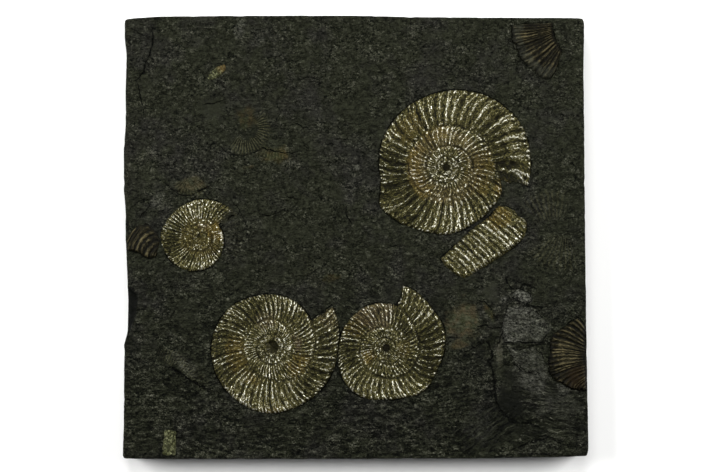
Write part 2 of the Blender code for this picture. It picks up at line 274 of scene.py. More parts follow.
def stretch(tree, value, low, high, out=(0.0, 1.0), **settings):   # a value spread out between limits
    wires = {"Value": value, "From Min": low, "From Max": high, "To Min": out[0], "To Max": out[1]}
    return put(tree, "MapRange", wires, **settings)[0]


def vectors(tree, operation, first, second=(0, 0, 0)):
    answers = put(tree, "VectorMath", {0: first, 1: second}, operation=operation)
    return answers["Value" if operation in ("LENGTH", "DOT_PRODUCT") else "Vector"]


def turned(tree, vector, angle):
    return put(tree, "VectorRotate", {"Vector": vector, "Angle": angle}, rotation_type="Z_AXIS")[0]


def blend(tree, mask, first, second):
    return put(tree, "Mix", {0: mask, 6: first, 7: second}, data_type="RGBA")[2]


def ramp(tree, value, colour, *steps):   # from colour to colour between pairs of limits
    for low, high, following in steps:
        colour = blend(tree, stretch(tree, value, low, high), colour, following)
    return colour


def noise(tree, where, size, detail=3.0, rough=0.6):   # size is across one lump, in metres
    wires = {"Vector": where, "Scale": 1 / size, "Detail": detail, "Roughness": rough}
    return put(tree, "TexNoise", wires)[0]


def bumped(tree, height, strength=1.0):
    return put(tree, "Bump", {"Height": height, "Distance": 1.0, "Strength": strength})[0]


def readMark(tree, name):
    return put(tree, "Attribute", {}, attribute_name=name)["Fac"]


def markWeights(tree, weights):   # painted marks with their weights, for adding up
    return [(readMark(tree, mark), weight) for mark, weight in weights.items()]


def newGroup(name, inputs, outputs):
    tree = bpy.data.node_groups.new(name, "ShaderNodeTree")
    for label, (kind, value) in inputs.items():
        socket = tree.interface.new_socket(label, in_out="INPUT", socket_type="NodeSocket" + kind)
        socket.default_value = value
    for label, kind in outputs.items():
        tree.interface.new_socket(label, in_out="OUTPUT", socket_type="NodeSocket" + kind)
    return tree, tree.nodes.new("NodeGroupInput").outputs, tree.nodes.new("NodeGroupOutput").inputs


def useGroup(tree, group, wires):
    return put(tree, "Group", wires, node_tree=group)


def newMaterial(name):
    material = bpy.data.materials.new(name)
    material.use_nodes = True
    tree = material.node_tree
    return material, tree, tree.nodes["Principled BSDF"].inputs, put(tree, "TexCoord", {})


origin = ("Vector", (0, 0, 0))   # a group's socket for a place, and its value when nothing is wired to it


def makeStainGroup():   # a stain with ragged edges, centred at a place on the piece
    tree, given, gives = newGroup("raggedStain", {
        "Vector": origin, "Centre": origin, "Reach": ("Vector", (1, 1, 1)), "Soft": ("Float", 0.4),
        "Ragged": ("Float", 0.8), "Lump": ("Float", 400)}, {"Mask": "Float"})
    away = vectors(tree, "SUBTRACT", given["Vector"], given["Centre"])
    scaled = vectors(tree, "DIVIDE", away, given["Reach"])
    lumps = put(tree, "TexNoise", {"Vector": given["Vector"], "Scale": given["Lump"], "Detail": 4.0})[0]
    ragged = times(tree, less(tree, lumps), given["Ragged"])
    edge = maths(tree, "ADD", vectors(tree, "LENGTH", scaled), ragged)
    mask = stretch(tree, edge, maths(tree, "ADD", 1.0, given["Soft"]), less(tree, 1.0, given["Soft"]),
                   interpolation_type="SMOOTHSTEP")
    feed(tree, gives, {"Mask": mask})
    return tree


def makeCrystalGroup():   # a crust of small crystal faces, each with its own tilt and shine
    tree, given, gives = newGroup("crystalCrust", {
        "Vector": origin, "Scale": ("Float", 1500), "Tilt": ("Float", 0.6)},
        {"Mask": "Float", "Height": "Float"})
    cells = put(tree, "TexVoronoi", {"Vector": given["Vector"], "Scale": given["Scale"]})
    fromMiddle = vectors(tree, "SUBTRACT", given["Vector"], cells["Position"])
    lean = vectors(tree, "SUBTRACT", cells["Color"], (0.5, 0.5, 0.5))
    height = times(tree, vectors(tree, "DOT_PRODUCT", fromMiddle, lean), given["Tilt"])
    feed(tree, gives, {"Mask": put(tree, "SeparateColor", {0: cells["Color"]})[2], "Height": height})
    return tree


def makeDustAndShadeGroup():   # fine shale dust and painted shade lying in the hollows of a surface
    tree, given, gives = newGroup("dustAndShadeInHollows", {
        "Vector": origin, "Color": ("Color", (1, 1, 1, 1)), "DustAndShade": ("Color", (0.1, 0.1, 0.1, 1)),
        "Hollow": ("Float", 0.0), "Amount": ("Float", 0.5), "Lump": ("Float", 900)},
        {"Color": "Color", "Mask": "Float"})
    lumps = put(tree, "TexNoise", {"Vector": given["Vector"], "Scale": given["Lump"], "Detail": 5.0})[0]
    mask = times(tree, given["Hollow"], given["Amount"], stretch(tree, lumps, 0.35, 0.65))
    feed(tree, gives, {"Color": blend(tree, mask, given["Color"], given["DustAndShade"]), "Mask": mask})
    return tree


def makeGhostGroup():   # the fine ribs of a faint shell, in a part of a ring round its middle
    tree, given, gives = newGroup("ghostRibs", {
        "Vector": origin, "Centre": origin, "First": ("Float", 0.01), "Last": ("Float", 0.02),
        "Middle": ("Float", 0.0), "Half": ("Float", 1.0), "Ribs": ("Float", 60)},
        {"Mask": "Float", "Height": "Float"})
    lumps = put(tree, "TexNoise", {"Vector": given["Vector"], "Scale": 350, "Detail": 3.0})[0]
    away = vectors(tree, "SUBTRACT", given["Vector"], given["Centre"])
    flat = vectors(tree, "MULTIPLY", away, (1, 1, 0))
    parts = put(tree, "SeparateXYZ", {0: flat})
    radius = addUp(tree, (vectors(tree, "LENGTH", flat), 1.0), (less(tree, lumps), 6 * mm))
    angle = maths(tree, "ARCTAN2", parts[1], parts[0])
    fromMiddle = put(tree, "Math", {0: less(tree, angle, given["Middle"]), 1: math.pi, 2: -math.pi},
                     operation="WRAP")[0]
    beyond = less(tree, maths(tree, "ABSOLUTE", fromMiddle), given["Half"])
    mask = times(tree, stretch(tree, less(tree, radius, given["First"]), 0.0, 1 * mm),
                 stretch(tree, less(tree, radius, given["Last"]), 1 * mm, -1 * mm),
                 stretch(tree, beyond, 0.15, -0.15))
    wave = addUp(tree, (times(tree, angle, given["Ribs"]), 1.0), (radius, 60.0), (lumps, 6.0))
    rib = stretch(tree, maths(tree, "SINE", wave), -0.6, 1.0)
    feed(tree, gives, {"Mask": mask, "Height": times(tree, rib, mask)})
    return tree


ghostGroup = makeGhostGroup()
stainGroup = makeStainGroup()
crystalGroup = makeCrystalGroup()
dustAndShadeGroup = makeDustAndShadeGroup()


# The coiled shells. Places are in millimetres from the slab's centre. The rim is pairs of
# turns back from the mouth and radius, and growth is 1 where the shell grows anticlockwise.
# A zone is a part of a ring: first and last angle, first and last radius, and strength. Parts
# of a turn: how soon the height is full behind the mouth (mouthFade), how uneven the mouth is
# (mouthRagged) and how far it reaches beyond its line (mouthReach). The ribs crowd inwards by
# drift, bend by lean, in ribs, and are innerRibs times as high on the covered turns. They fork
# from forkFrom of the way across. The pit is the hole in the middle.

# The zones that brighten the ribs are painted highlight, where the lamps catch them, and the zones that dim
# them are painted shade; the golden, pink and bare zones are stains.
shells = {
    "ammonite_large": {
        "centre": (39.1, 30.1), "mouth": -7, "growth": -1, "ribs": 44, "rise": 1.15, "ribHeight": 0.42,
        "mouthFade": 0.035, "mouthRagged": 0.008, "mouthReach": 0.02, "drift": 0.013, "innerRibs": 0.85,
        "forkFrom": 0.5, "lean": 0.9, "pit": 0.3, "pitRadius": 1.7, "seam": 1.0, "seed": 11,
        "zones": {
            "bright": [
                (45, 95, 19, 34, 0.45), (252, 292, 15, 27, 0.9), (30, 110, 11, 18, 0.8),
                (-12, 40, 28, 33, 1.0), (0, 360, 4, 12, 0.2),
            ],
            "paintedShade": [
                (162, 205, 19, 30, 1.0), (-22, 12, 20, 31, 0.9), (205, 248, 17, 31, 0.4),
                (12, 42, 19, 30, 0.3),
            ],
            "bare": [(-16, -5, 18, 34, 0.5)],
            "golden": [
                (138, 238, 11, 17, 1.0), (85, 130, 12, 18, 0.7), (-40, 25, 12, 20, 0.6),
                (331, 348, 22, 27, 1.0), (0, 360, 8.5, 16, 0.3), (118, 150, 19, 28, 0.4),
            ],
            "pink": [(248, 275, 13, 15, 0.6), (0, 360, 8.5, 16, 0.3)],
        },
        "rim": [
            (0.0, 35.9), (0.061, 36.5), (0.094, 37.0), (0.144, 36.1), (0.208, 34.6), (0.269, 32.8),
            (0.333, 31.3), (0.464, 29.7), (0.519, 28.9), (0.547, 28.8), (0.575, 30.1), (0.603, 32.9),
            (0.633, 32.0), (0.714, 29.2), (0.769, 28.8), (0.839, 26.9), (0.894, 26.1), (0.956, 25.6),
            (0.978, 23.9), (1.0, 22.4), (1.144, 19.4), (1.269, 17.8), (1.394, 17.4), (1.519, 16.3),
            (1.644, 14.8), (1.769, 12.9), (2.019, 11.4), (2.269, 9.2), (2.519, 8.6), (2.769, 6.2),
            (3.019, 5.4), (3.3, 4.7), (3.6, 3.9), (4.0, 2.7), (4.4, 1.4),
        ],
    },
    "ammonite_lower_left": {
        "centre": (-35.8, -47.3), "mouth": 35, "growth": 1, "ribs": 54, "rise": 1.1, "ribHeight": 0.38,
        "mouthFade": 0.006, "mouthRagged": 0.004, "drift": 0.010, "innerRibs": 1.0, "forkFrom": 0.45,
        "lean": 1.2, "pit": 0.7, "pitRadius": 2.8, "seam": 0.8, "seed": 23,
        "zones": {
            "bright": [(222, 302, 17, 30, 0.7), (0, 360, 7.5, 9.2, 1.0)],
            "paintedShade": [
                (150, 215, 17, 30, 0.7), (-20, 20, 20, 31, 0.7), (300, 345, 19, 30, 0.5),
                (100, 150, 15, 24, 0.4),
            ],
            "golden": [
                (165, 215, 12, 20, 0.7), (305, 345, 10, 17, 0.8), (262, 275, 26, 30, 0.9),
                (215, 250, 14, 18, 0.5),
            ],
            "pink": [(-12, 27, 10, 12.5, 0.9), (85, 120, 9, 15, 0.5), (20, 40, 24, 31, 0.4)],
        },
        "rim": [
            (0.0, 31.4), (0.042, 30.1), (0.097, 28.3), (0.158, 27.9), (0.222, 27.5), (0.306, 27.7),
            (0.361, 28.4), (0.403, 27.9), (0.472, 27.1), (0.556, 26.5), (0.653, 25.6), (0.722, 24.9),
            (0.792, 23.2), (0.847, 22.8), (0.931, 21.7), (1.0, 20.0), (1.097, 18.3), (1.222, 16.1),
            (1.347, 13.8), (1.472, 12.8), (1.722, 12.3), (1.847, 12.0), (1.972, 10.3), (2.097, 8.6),
            (2.222, 7.3), (2.472, 6.9), (2.847, 5.6), (3.097, 4.7), (3.5, 3.5), (3.9, 2.4),
        ],
    },
    "ammonite_lower_middle": {
        "centre": (13.1, -47.5), "mouth": 75, "growth": 1, "ribs": 46, "rise": 1.1, "ribHeight": 0.38,
        "mouthFade": 0.008, "mouthRagged": 0.006, "drift": 0.016, "innerRibs": 0.9, "forkFrom": 0.45,
        "lean": 1.0, "pit": 0.4, "pitRadius": 1.8, "seam": 0.8, "seed": 37,
        "zones": {
            "bright": [(225, 305, 14, 27, 0.6), (10, 60, 6.8, 8.2, 0.7), (195, 245, 10.5, 11.8, 0.8)],
            "paintedShade": [(15, 60, 9, 14, 0.9), (125, 205, 13, 24, 0.8), (-40, 30, 13, 27, 0.9)],
            "golden": [(190, 225, 6, 11, 0.9), (-30, 20, 5, 10, 0.3), (120, 160, 12, 20, 0.5)],
            "pink": [(80, 135, 9, 20, 0.8)],
        },
        "rim": [
            (0.0, 27.7), (0.042, 27.3), (0.083, 26.2), (0.167, 26.2), (0.208, 25.2), (0.25, 24.1),
            (0.36, 24.3), (0.403, 22.8), (0.458, 22.4), (0.542, 23.6), (0.625, 22.4), (0.681, 20.9),
            (0.75, 20.0), (0.833, 19.9), (0.903, 19.6), (0.958, 19.1), (1.0, 18.5), (1.042, 17.0),
            (1.125, 14.9), (1.208, 14.2), (1.333, 14.0), (1.458, 12.9), (1.583, 11.8), (1.708, 11.2),
            (1.833, 10.1), (1.958, 8.9), (2.125, 7.7), (2.458, 6.7), (2.708, 5.2), (2.958, 4.3),
            (3.208, 3.9), (3.6, 3.0), (4.2, 1.4),
        ],
    },
    "ammonite_left_small": {
        "centre": (-66.5, 0.2), "mouth": 30, "growth": -1, "ribs": 56, "rise": 0.8, "ribHeight": 0.28,
        "mouthFade": 0.03, "mouthRagged": 0.02, "drift": 0.014, "innerRibs": 0.5, "forkFrom": 0.5,
        "lean": 0.6, "pit": 0.2, "pitRadius": 0.9, "seam": 0.3, "seed": 51,
        "zones": {
            "bright": [(80, 130, 7, 15, 0.8), (212, 248, 12.5, 17, 0.5), (268, 302, 9, 13.5, 0.5)],
            "paintedShade": [(140, 215, 9, 17, 0.7), (300, 335, 5, 17, 0.8)], "bare": [(-35, 44, 10.5, 20, 1.0)],
            "golden": [(-12, 50, 3.5, 9.5, 1.0), (50, 348, 0, 9, 0.3)], "pink": [(58, 102, 3.6, 6, 0.8)],
        },
        "rim": [
            (0.0, 18.3), (0.042, 17.6), (0.083, 16.8), (0.167, 16.1), (0.25, 15.7), (0.333, 16.1),
            (0.417, 17.2), (0.472, 16.8), (0.542, 16.3), (0.597, 15.7), (0.667, 14.2), (0.75, 12.7),
            (0.833, 10.8), (0.917, 9.7), (1.042, 8.6), (1.167, 7.5), (1.417, 7.3), (1.542, 6.9),
            (1.667, 6.0), (1.792, 5.2), (1.917, 4.7), (2.167, 3.9), (2.417, 3.4), (2.9, 2.3), (3.3, 1.3),
        ],
    },
}
coil = {
    "stepsInTurn": 640, "stepsAcross": 26, "rimHeight": 0.35 * mm, "seamHeight": 0.72, "innerSink": 0.3,
    "wallFoot": bed - 0.9 * mm, "grain": 0.035 * mm, "dents": 0.16 * mm, "weld": 0.001 * mm,
    "hubStep": 0.05 * mm, "ribWidth": 0.115, "cutDepth": 0.16, "beadHeight": 0.24, "fullWidth": 14 * mm,
}


def rimRadius(shell, turns):   # the measured rim, made slightly ragged
    radius = smoothRead(shell["rim"], turns)
    ragged = 0.22 * hills(turns * 45, turns * 0, 1, shell["seed"])
    ragged = ragged + 0.13 * hills(turns * 120, turns * 0, 1, shell["seed"] + 1)
    return (radius + ragged * ease(0, 10, radius)) * mm


def coilPlace(shell, turns, radius):
    angle = math.radians(shell["mouth"]) - shell["growth"] * math.tau * turns
    x, y = (value * mm for value in shell["centre"])
    return x + radius * np.cos(angle), y + radius * np.sin(angle)


def shellOutline(shell):   # once round the outer turn, ending back at the mouth
    turns = np.linspace(0, 1, 160)
    return np.stack(coilPlace(shell, turns, rimRadius(shell, turns)), -1)


# A rib at each whole number of place, forking towards the rim, and the dark lines between ribs, carved and
# painted with shade.

def ribPattern(place, across, forkFrom, ribWidth, seed):
    dice = np.random.default_rng(seed).uniform(-1, 1, (400, 4))
    place = (place + 0.1 * hills(place * 0.5, across * 3, 1, seed + 20)
             + 0.05 * hills(place * 2, across * 9, 1, seed + 22))
    number = np.round(place)
    jitter, strength, forkShift, crackLuck = (dice[number.astype(int) % 400, k] for k in range(4))
    local = place - number - 0.1 * jitter
    forked = ease(forkFrom + 0.2 * forkShift, 1.0, across) * (strength > -0.7)
    width = ribWidth * (1 - 0.3 * forked)
    ridges = [np.exp(-((local + sign * 0.25 * forked) / width) ** 2) for sign in (-1, 1)]
    lines = 0.5 + 0.5 * np.cos(local * 5 * math.tau)   # fine growth lines between the ribs
    ribs = np.maximum(*ridges) * (0.8 + 0.3 * strength)
    gap = hills(place * 0.7, across * 6, 1, seed + 21)   # the painted shade line beside a rib comes and goes
    between = ease(0.33, 0.46, abs(local)) + 0.7 * forked * ease(0.1, 0.02, abs(local))
    grooveShade = between * np.clip(0.7 * crackLuck + 0.7 + 1.6 * gap, 0.1, 1)
    return ribs + 0.1 * lines * (1 - ribs), grooveShade


def arcTable(shell):   # metres travelled round the middle of the coil, at each place along it
    turns = np.linspace(0, shell["rim"][-1][0], 400)
    middle = (rimRadius(shell, turns) + rimRadius(shell, np.minimum(turns + 1, turns[-1]))) / 2
    return turns, np.cumsum(middle) * math.tau * turns[1]


def whorlHeight(shell, turns, across):   # the plain coil, and how far it has died away at the hub
    whole = shell["rim"][-1][0]

    def crestHeight(at):
        return shell["rise"] * mm * (1 - coil["innerSink"] * at / whole)

    def seamHeight(at):
        lap = ease(0.97, 1.04, at)
        return coil["rimHeight"] * (1 - lap) + crestHeight(at) * coil["seamHeight"] * lap

    inSeam, outSeam = seamHeight(np.minimum(turns + 1, whole)), seamHeight(turns)
    rise = ease(0, np.where(turns + 1 < whole, 0.1, 0.3), across)
    drop = ease(np.where(turns < 1, 0.92, 0.87), 1.0, across)
    crest = crestHeight(turns) * (0.92 + 0.08 * np.sin(math.pi * across))
    height = inSeam + (crest - inSeam) * rise
    height = height + (outSeam - height) * drop
    end = ease(whole, whole - 0.4, turns)
    return outSeam + (height - outSeam) * end, end


def shellSurface(shell, turns, across):
    whole, seed = shell["rim"][-1][0], shell["seed"]
    lapped = (across < 0.001) & (turns + 1 <= whole)   # a seam's points belong to the turn inside it
    turns, across = np.where(lapped, turns + 1, turns), np.where(lapped, 1.0, across)
    outer, inner = rimRadius(shell, turns), rimRadius(shell, np.minimum(turns + 1, whole))
    radius = inner + (outer - inner) * across
    ragged = shell["mouthRagged"] * (0.5 + hills(across * 5, across * 0, 1, seed + 9))
    atMouth = ease(0.04, 0.0, turns)
    x, y = coilPlace(shell, turns + atMouth * (ragged - shell.get("mouthReach", 0)), radius)
    free = turns < 1
    width = np.clip((outer - inner) / coil["fullWidth"], 0, 1.1)
    height, end = whorlHeight(shell, turns, across)

    place = turns * (1 + shell["drift"] * turns) * shell["ribs"] + shell["lean"] * (across - 0.2) ** 2
    ribs, grooves = ribPattern(place, across, np.where(free, shell["forkFrom"], 0.75), coil["ribWidth"], seed)
    grooves = grooves * np.clip(1.5 * width, 0.3, 1)   # the innermost turns are too worn for dark gaps
    worn = np.clip(0.8 + 0.55 * hills(x, y, 6 * mm, seed + 1), 0.2, 1.15)
    ribs = ribs * worn * end * (0.15 + 0.85 * ease(0.02, 0.2, across))
    ribs = ribs * np.where(free, 1, shell["innerRibs"] * (0.3 + 0.7 * ease(1.0, 0.86, across)))
    fromInner, fromOuter = across * (outer - inner) / mm, (1 - across) * (outer - inner) / mm
    beadRow = np.maximum(ease(0.2, 0.7, fromInner) * ease(2.2, 1.2, fromInner),
                         ease(0.0, 0.5, fromOuter) * ease(1.9, 1.0, fromOuter)) * end
    beads = ease(0.0, 0.45, hills(x, y, 0.9 * mm, seed + 11))
    beads = beads * np.clip(0.8 + 0.8 * hills(x, y, 8 * mm, seed + 12), 0, 1) * beadRow
    height = height + (ribs * shell["ribHeight"] - coil["cutDepth"] * grooves) * mm * width ** 0.6
    height = height + coil["beadHeight"] * beads * mm * width ** 0.5
    height = height + coil["dents"] * hills(x, y, 7 * mm, seed + 2) * width
    height = height + coil["grain"] * (hills(x, y, 0.9 * mm, seed + 3) + hills(x, y, 0.5 * mm, seed + 4))
    mouth = ease(0.0, shell["mouthFade"], turns)
    height = height * mouth + (1 - mouth) * np.minimum(height, coil["rimHeight"])
    hole = ease(1.1, 0.75, radius / (shell["pitRadius"] * mm))
    height = height - shell["pit"] * mm * hole

    # the seams and the pit are painted with shade, with the grooves, through the cut mark
    seam = np.maximum(ease(0.8, 0.2, fromInner), ease(0.5, 0.1, fromOuter) * (turns > 1)) * (1 - beads)
    seamDepth = shell["seam"] * np.where(turns > 1.6, 0.25, 0.5) + 0.9 * hills(x, y, 5 * mm, seed + 6)
    # the hollows between ribs and behind the mouth are darkened, partly dust and partly painted shade
    between = 0.5 * np.clip(1 - ribs * 3, 0, 1) * (0.7 + 0.8 * hills(x, y, 4 * mm, seed + 7))
    return (x, y, bed + height), {
        "crest": ribs, "bead": beads, "hollow": between + (1 - mouth) * 0.8,
        "cutShade": np.maximum(np.maximum(grooves, hole), seam * np.clip(seamDepth, 0, 1)),
        "streak": 0.5 + 0.6 * hills(place * 5, across * 8 * width + 3, 1, seed + 5),
    }


def closeHub(piece, shell):   # the hole in the middle of the coil
    bpy.ops.object.mode_set(mode="EDIT")
    bpy.ops.mesh.select_all(action="SELECT")
    bpy.ops.mesh.remove_doubles(threshold=coil["weld"])   # joins each turn to the next along the seam
    x, y = (value * mm for value in shell["centre"])
    hub = shell["rim"][-1][1] * mm * 1.3
    openEdges(piece, lambda middle: math.hypot(middle.x - x, middle.y - y) < hub)
    extrudeDown(coil["hubStep"])
    bpy.ops.transform.resize(value=(0.6, 0.6, 1), center_override=(x, y, bed))
    extrudeDown(coil["hubStep"])
    bpy.ops.mesh.merge(type="CENTER")
    bpy.ops.object.mode_set(mode="OBJECT")


def addCoiledShell(name, shell, material):
    clearSelection()
    steps = coil["stepsInTurn"]
    columns = round(shell["rim"][-1][0] * steps)
    piece = addGrid(columns, coil["stepsAcross"])
    flat = readPlaces(piece)
    turns, across = np.round((flat[:, 0] + 0.5) * columns) / steps, flat[:, 1] + 0.5
    width = rimRadius(shell, turns) - rimRadius(shell, np.minimum(turns + 1, columns / steps))
    leaned = turns + shell["lean"] * (across - 0.2) ** 2 / shell["ribs"]
    layGrain(piece, np.interp(leaned, *arcTable(shell)), across * width)
    places, marks = shellSurface(shell, turns, across)
    writePlaces(piece, *places)
    paint(piece, marks)
    paintZones(piece, *places[:2], shell)
    closeHub(piece, shell)
    wallDown(piece, coil["wallFoot"])
    finishPiece(piece, name, material)


# The loose lengths of whorl, between the two long edges that their ribs run between.

# A zone that brightens a piece's ribs is a painted highlight; the golden and bare zones are stains.
fragments = {
    "whorl_fragment": {
        "ribs": 17, "rise": 1.3, "ribHeight": 0.4, "ribShine": 0.8, "ribWidth": 0.19, "forkFrom": 0.75,
        "lean": 0.7, "seed": 71, "ragged": 0.5, "rounding": 0.06, "slot": "pyrite", "centre": (61.5, 8.5),
        "zones": {"golden": [(0, 360, 0, 5, 0.9)], "bright": [(0, 360, 5, 50, 0.7)]},
        "inner": [
            (35.8, -9.9), (39.3, -6.7), (43.6, -2.5), (47.9, 1.7), (53.2, 5.9), (58.2, 9.5), (60.6, 12.9),
            (64.2, 14.3),
        ],
        "outer": [
            (45.1, -18.1), (48.3, -16.8), (53.5, -13.8), (59.1, -10.3), (64.2, -6.9), (68.5, -3.7),
            (72.8, 1.1), (73.6, 7.4),
        ],
    },
    "ribbed_fragment_top_right": {
        "ribs": 10, "rise": 0.7, "ribHeight": 0.6, "ribWidth": 0.25, "forkFrom": 0.9, "lean": 0.3,
        "seed": 77, "ragged": 0.6, "rounding": 0.05, "slot": "brown_shell", "centre": (86.5, 88.0),
        "moatShadow": 0.4, "zones": {"bare": [(150, 300, 15, 30, 0.8)]},
        "inner": [(84.7, 92.0), (85.1, 86.6), (86.2, 84.0), (87.5, 81.8), (89.0, 80.0)],
        "outer": [
            (67.2, 91.8), (67.5, 85.8), (69.5, 81.9), (70.9, 77.6), (74.1, 73.7), (77.5, 70.7),
            (80.6, 68.4), (84.5, 68.2),
        ],
    },
    "ribbed_fragment_left_edge": {
        "ribs": 6, "rise": 0.6, "ribHeight": 0.36, "ribWidth": 0.27, "forkFrom": 0.9, "lean": -2.3,
        "leanFrom": 1.1, "seed": 79, "ragged": 0.5, "rounding": 0.05, "slot": "brown_shell",
        "centre": (-91.0, -2.0), "moatShadow": 0.6, "zones": {"bright": [(0, 360, 0, 20, 0.25)]},
        "inner": [(-98.4, 0.4), (-94.2, 4.5), (-91.4, 5.4), (-87.6, 4.0), (-85.4, 1.9), (-83.9, -1.1)],
        "outer": [(-98.2, -5.6), (-95.3, -5.9), (-92.6, -6.6), (-90.6, -8.3), (-88.6, -8.9), (-86.2, -8.4)],
    },
    "ribbed_fragment_right_edge": {
        "ribs": 15, "rise": 1.0, "ribHeight": 0.75, "ribWidth": 0.24, "forkFrom": 0.9, "lean": 1.0,
        "hub": (109.0, -52.0, 5.6), "seed": 83, "ragged": 0.5, "rounding": 0.0, "slot": "brown_shell",
        "centre": (90.5, -49.5), "zones": {"bright": [(0, 360, 0, 5.5, 1.0)]},
        "inner": [
            (96.0, -34.9), (98.6, -38.1), (98.7, -42.0), (98.8, -46.3), (98.8, -50.6), (98.9, -54.0),
            (99.0, -58.0), (99.1, -61.5), (99.2, -65.6),
        ],
        "outer": [
            (93.0, -35.9), (90.5, -38.1), (87.4, -39.8), (84.8, -42.0), (83.7, -49.3), (83.1, -55.0),
            (84.6, -60.0), (89.2, -63.0), (95.2, -65.4),
        ],
    },
}
length = {
    "stepsInRib": 16, "stepsAcross": 46, "edgeSteps": 240, "rimHeight": 0.15 * mm, "grain": 0.022 * mm,
    "dents": 0.12 * mm, "cutDepth": 0.1,
}


# Both edges of a piece in metres, at a place along it and across it from its inner edge.

def fragmentEdges(fragment, along, across):
    rounding = fragment["rounding"] * abs(2 * across - 1) ** 3
    uneven = 0.05 * hills(across * 4, along * 2, 1, fragment["seed"] + 8)
    along = 0.5 + (along - 0.5) * (1 - rounding + uneven)
    edges = []
    for k, key in enumerate(("inner", "outer")):
        edge = smoothLine(fragment[key], length["edgeSteps"])
        ticks = np.linspace(0, 1, length["edgeSteps"])
        x, y = (np.interp(along, ticks, edge[:, axis]) for axis in (0, 1))
        wobble = fragment["ragged"] * hills(x, y, 1.5, fragment["seed"] + k)
        edges.append(np.stack([x + 0.7 * wobble, y + 0.7 * wobble], -1) * mm)
    return along, *edges


def fragmentOutline(fragment):
    t, none = np.linspace(0, 1, 40), np.zeros(40)
    sides = []
    for along, across in ((t, none), (none + 1, t), (t[::-1], none + 1), (none, t[::-1])):
        _, inner, outer = fragmentEdges(fragment, along, across)
        sides.append(inner + (outer - inner) * across[:, None])
    return np.concatenate(sides)


def addRibbedPiece(name, fragment, material):
    clearSelection()
    piece = addGrid(fragment["ribs"] * length["stepsInRib"], length["stepsAcross"])
    flat = readPlaces(piece)
    across = flat[:, 1] + 0.5
    along, inner, outer = fragmentEdges(fragment, flat[:, 0] + 0.5, across)
    ends = ease(-0.5, -0.46, flat[:, 0]) * ease(0.5, 0.46, flat[:, 0])
    x, y = (inner + (outer - inner) * across[:, None]).T
    seed = fragment["seed"]
    place = along * fragment["ribs"]
    if "hub" in fragment:   # ribs that fan out from a point beside the piece
        hubX, hubY, spacing = fragment["hub"]
        place = np.degrees(np.arctan2(y - hubY * mm, hubX * mm - x)) / spacing + 30
    place = place + fragment["lean"] * (across - fragment.get("leanFrom", 0.2)) ** 2
    travel = math.dist(fragment["outer"][0], fragment["outer"][-1]) * mm
    layGrain(piece, place * travel / fragment["ribs"], across * np.hypot(*(outer - inner).T))
    ribs, grooves = ribPattern(place, across, fragment["forkFrom"], fragment["ribWidth"], seed)
    ribs *= np.clip(0.8 + 0.6 * hills(x, y, 5 * mm, seed + 1), 0.3, 1.15)
    ribs *= ease(0, 0.08, across) * ease(1, 0.94, across)
    profile = ease(0, 0.12, across) * ease(1, 0.9, across) * ends
    rise = (fragment["rise"] * mm - length["rimHeight"]) * profile
    height = length["rimHeight"] + rise * (0.9 + 0.1 * np.sin(math.pi * across))
    height += (ribs * fragment["ribHeight"] - length["cutDepth"] * grooves) * mm * ends
    height += length["dents"] * hills(x, y, 5 * mm, seed + 2)
    height += length["grain"] * (hills(x, y, 0.9 * mm, seed + 3) + hills(x, y, 0.45 * mm, seed + 4))
    writePlaces(piece, x, y, bed + height)
    paint(piece, {
        "crest": ribs * fragment.get("ribShine", 1), "cutShade": grooves,
        "hollow": 0.4 * (1 - 2 * ribs) + 0.5 * ease(0.1, 0, across),
        "streak": 0.5 + 0.6 * hills(place * 5, across * 8, 1, seed + 5),
    })
    paintZones(piece, x, y, fragment)
    wallDown(piece, coil["wallFoot"])
    finishPiece(piece, name, material)


# The two crumbs of pyrite crust. Their feet sink into the slab's pocket.

tab = {"centre": (-80.0, -88.4), "size": (5.4, 10.4), "rise": 0.7, "turn": -3, "cuts": 20, "rough": 0.28,
       "bevel": 0.6, "sideWaves": 0.8}
sliver = {"centre": (-59.8, 70.9), "size": (10.0, 4.1), "rise": 0.7, "turn": 38, "rough": 0.22,
          "ribSpacing": 1.1, "ribHeight": 0.18}
sunk = 0.9   # millimetres of each that lie below the slab's top face


def stretchTo(piece, look, height):   # gives a new primitive its size
    piece.scale = (look["size"][0] * mm, look["size"][1] * mm, height)
    bpy.ops.object.transform_apply(location=True, rotation=True, scale=True)


def settle(piece, look, x, y, z):   # turns a piece, puts it in its place and presses its foot flat
    c, s = math.cos(math.radians(look["turn"])), math.sin(math.radians(look["turn"]))
    middleX, middleY = look["centre"]
    writePlaces(piece, x * c - y * s + middleX * mm, x * s + y * c + middleY * mm,
                np.maximum(z, 0) + coil["wallFoot"])


def addTab(material):
    clearSelection()
    height = (tab["rise"] + sunk) * mm
    bpy.ops.mesh.primitive_cube_add(size=1, location=(0, 0, height / 2))
    piece = bpy.context.object
    stretchTo(piece, tab, height)
    bpy.ops.object.mode_set(mode="EDIT")
    bpy.ops.mesh.select_all(action="SELECT")
    bpy.ops.mesh.bevel(offset=tab["bevel"] * mm, segments=3, affect="EDGES")
    bpy.ops.mesh.subdivide(number_cuts=tab["cuts"])
    bpy.ops.object.mode_set(mode="OBJECT")
    x, y, z = readPlaces(piece).T
    lumps = roughGround(x + z, y - z, 2.2 * mm, 91, layers=3) * tab["rough"]
    width, depth = (size / 2 for size in tab["size"])
    x = x * (1 + tab["sideWaves"] * hills(y, z, 2.2 * mm, 93) / width)
    y = y * (1 + tab["sideWaves"] * hills(x, z, 2.0 * mm, 94) / depth)
    z = z + lumps * mm * ease(0.2, 1, z / height)
    # the low parts of the crust are darkened through the hollow mark, partly dust and partly painted shade
    paint(piece, {"crest": 0.5 + lumps, "hollow": 0.3 - lumps * 1.5})
    settle(piece, tab, x, y, z)
    finishPiece(piece, "pyrite_tab", material)


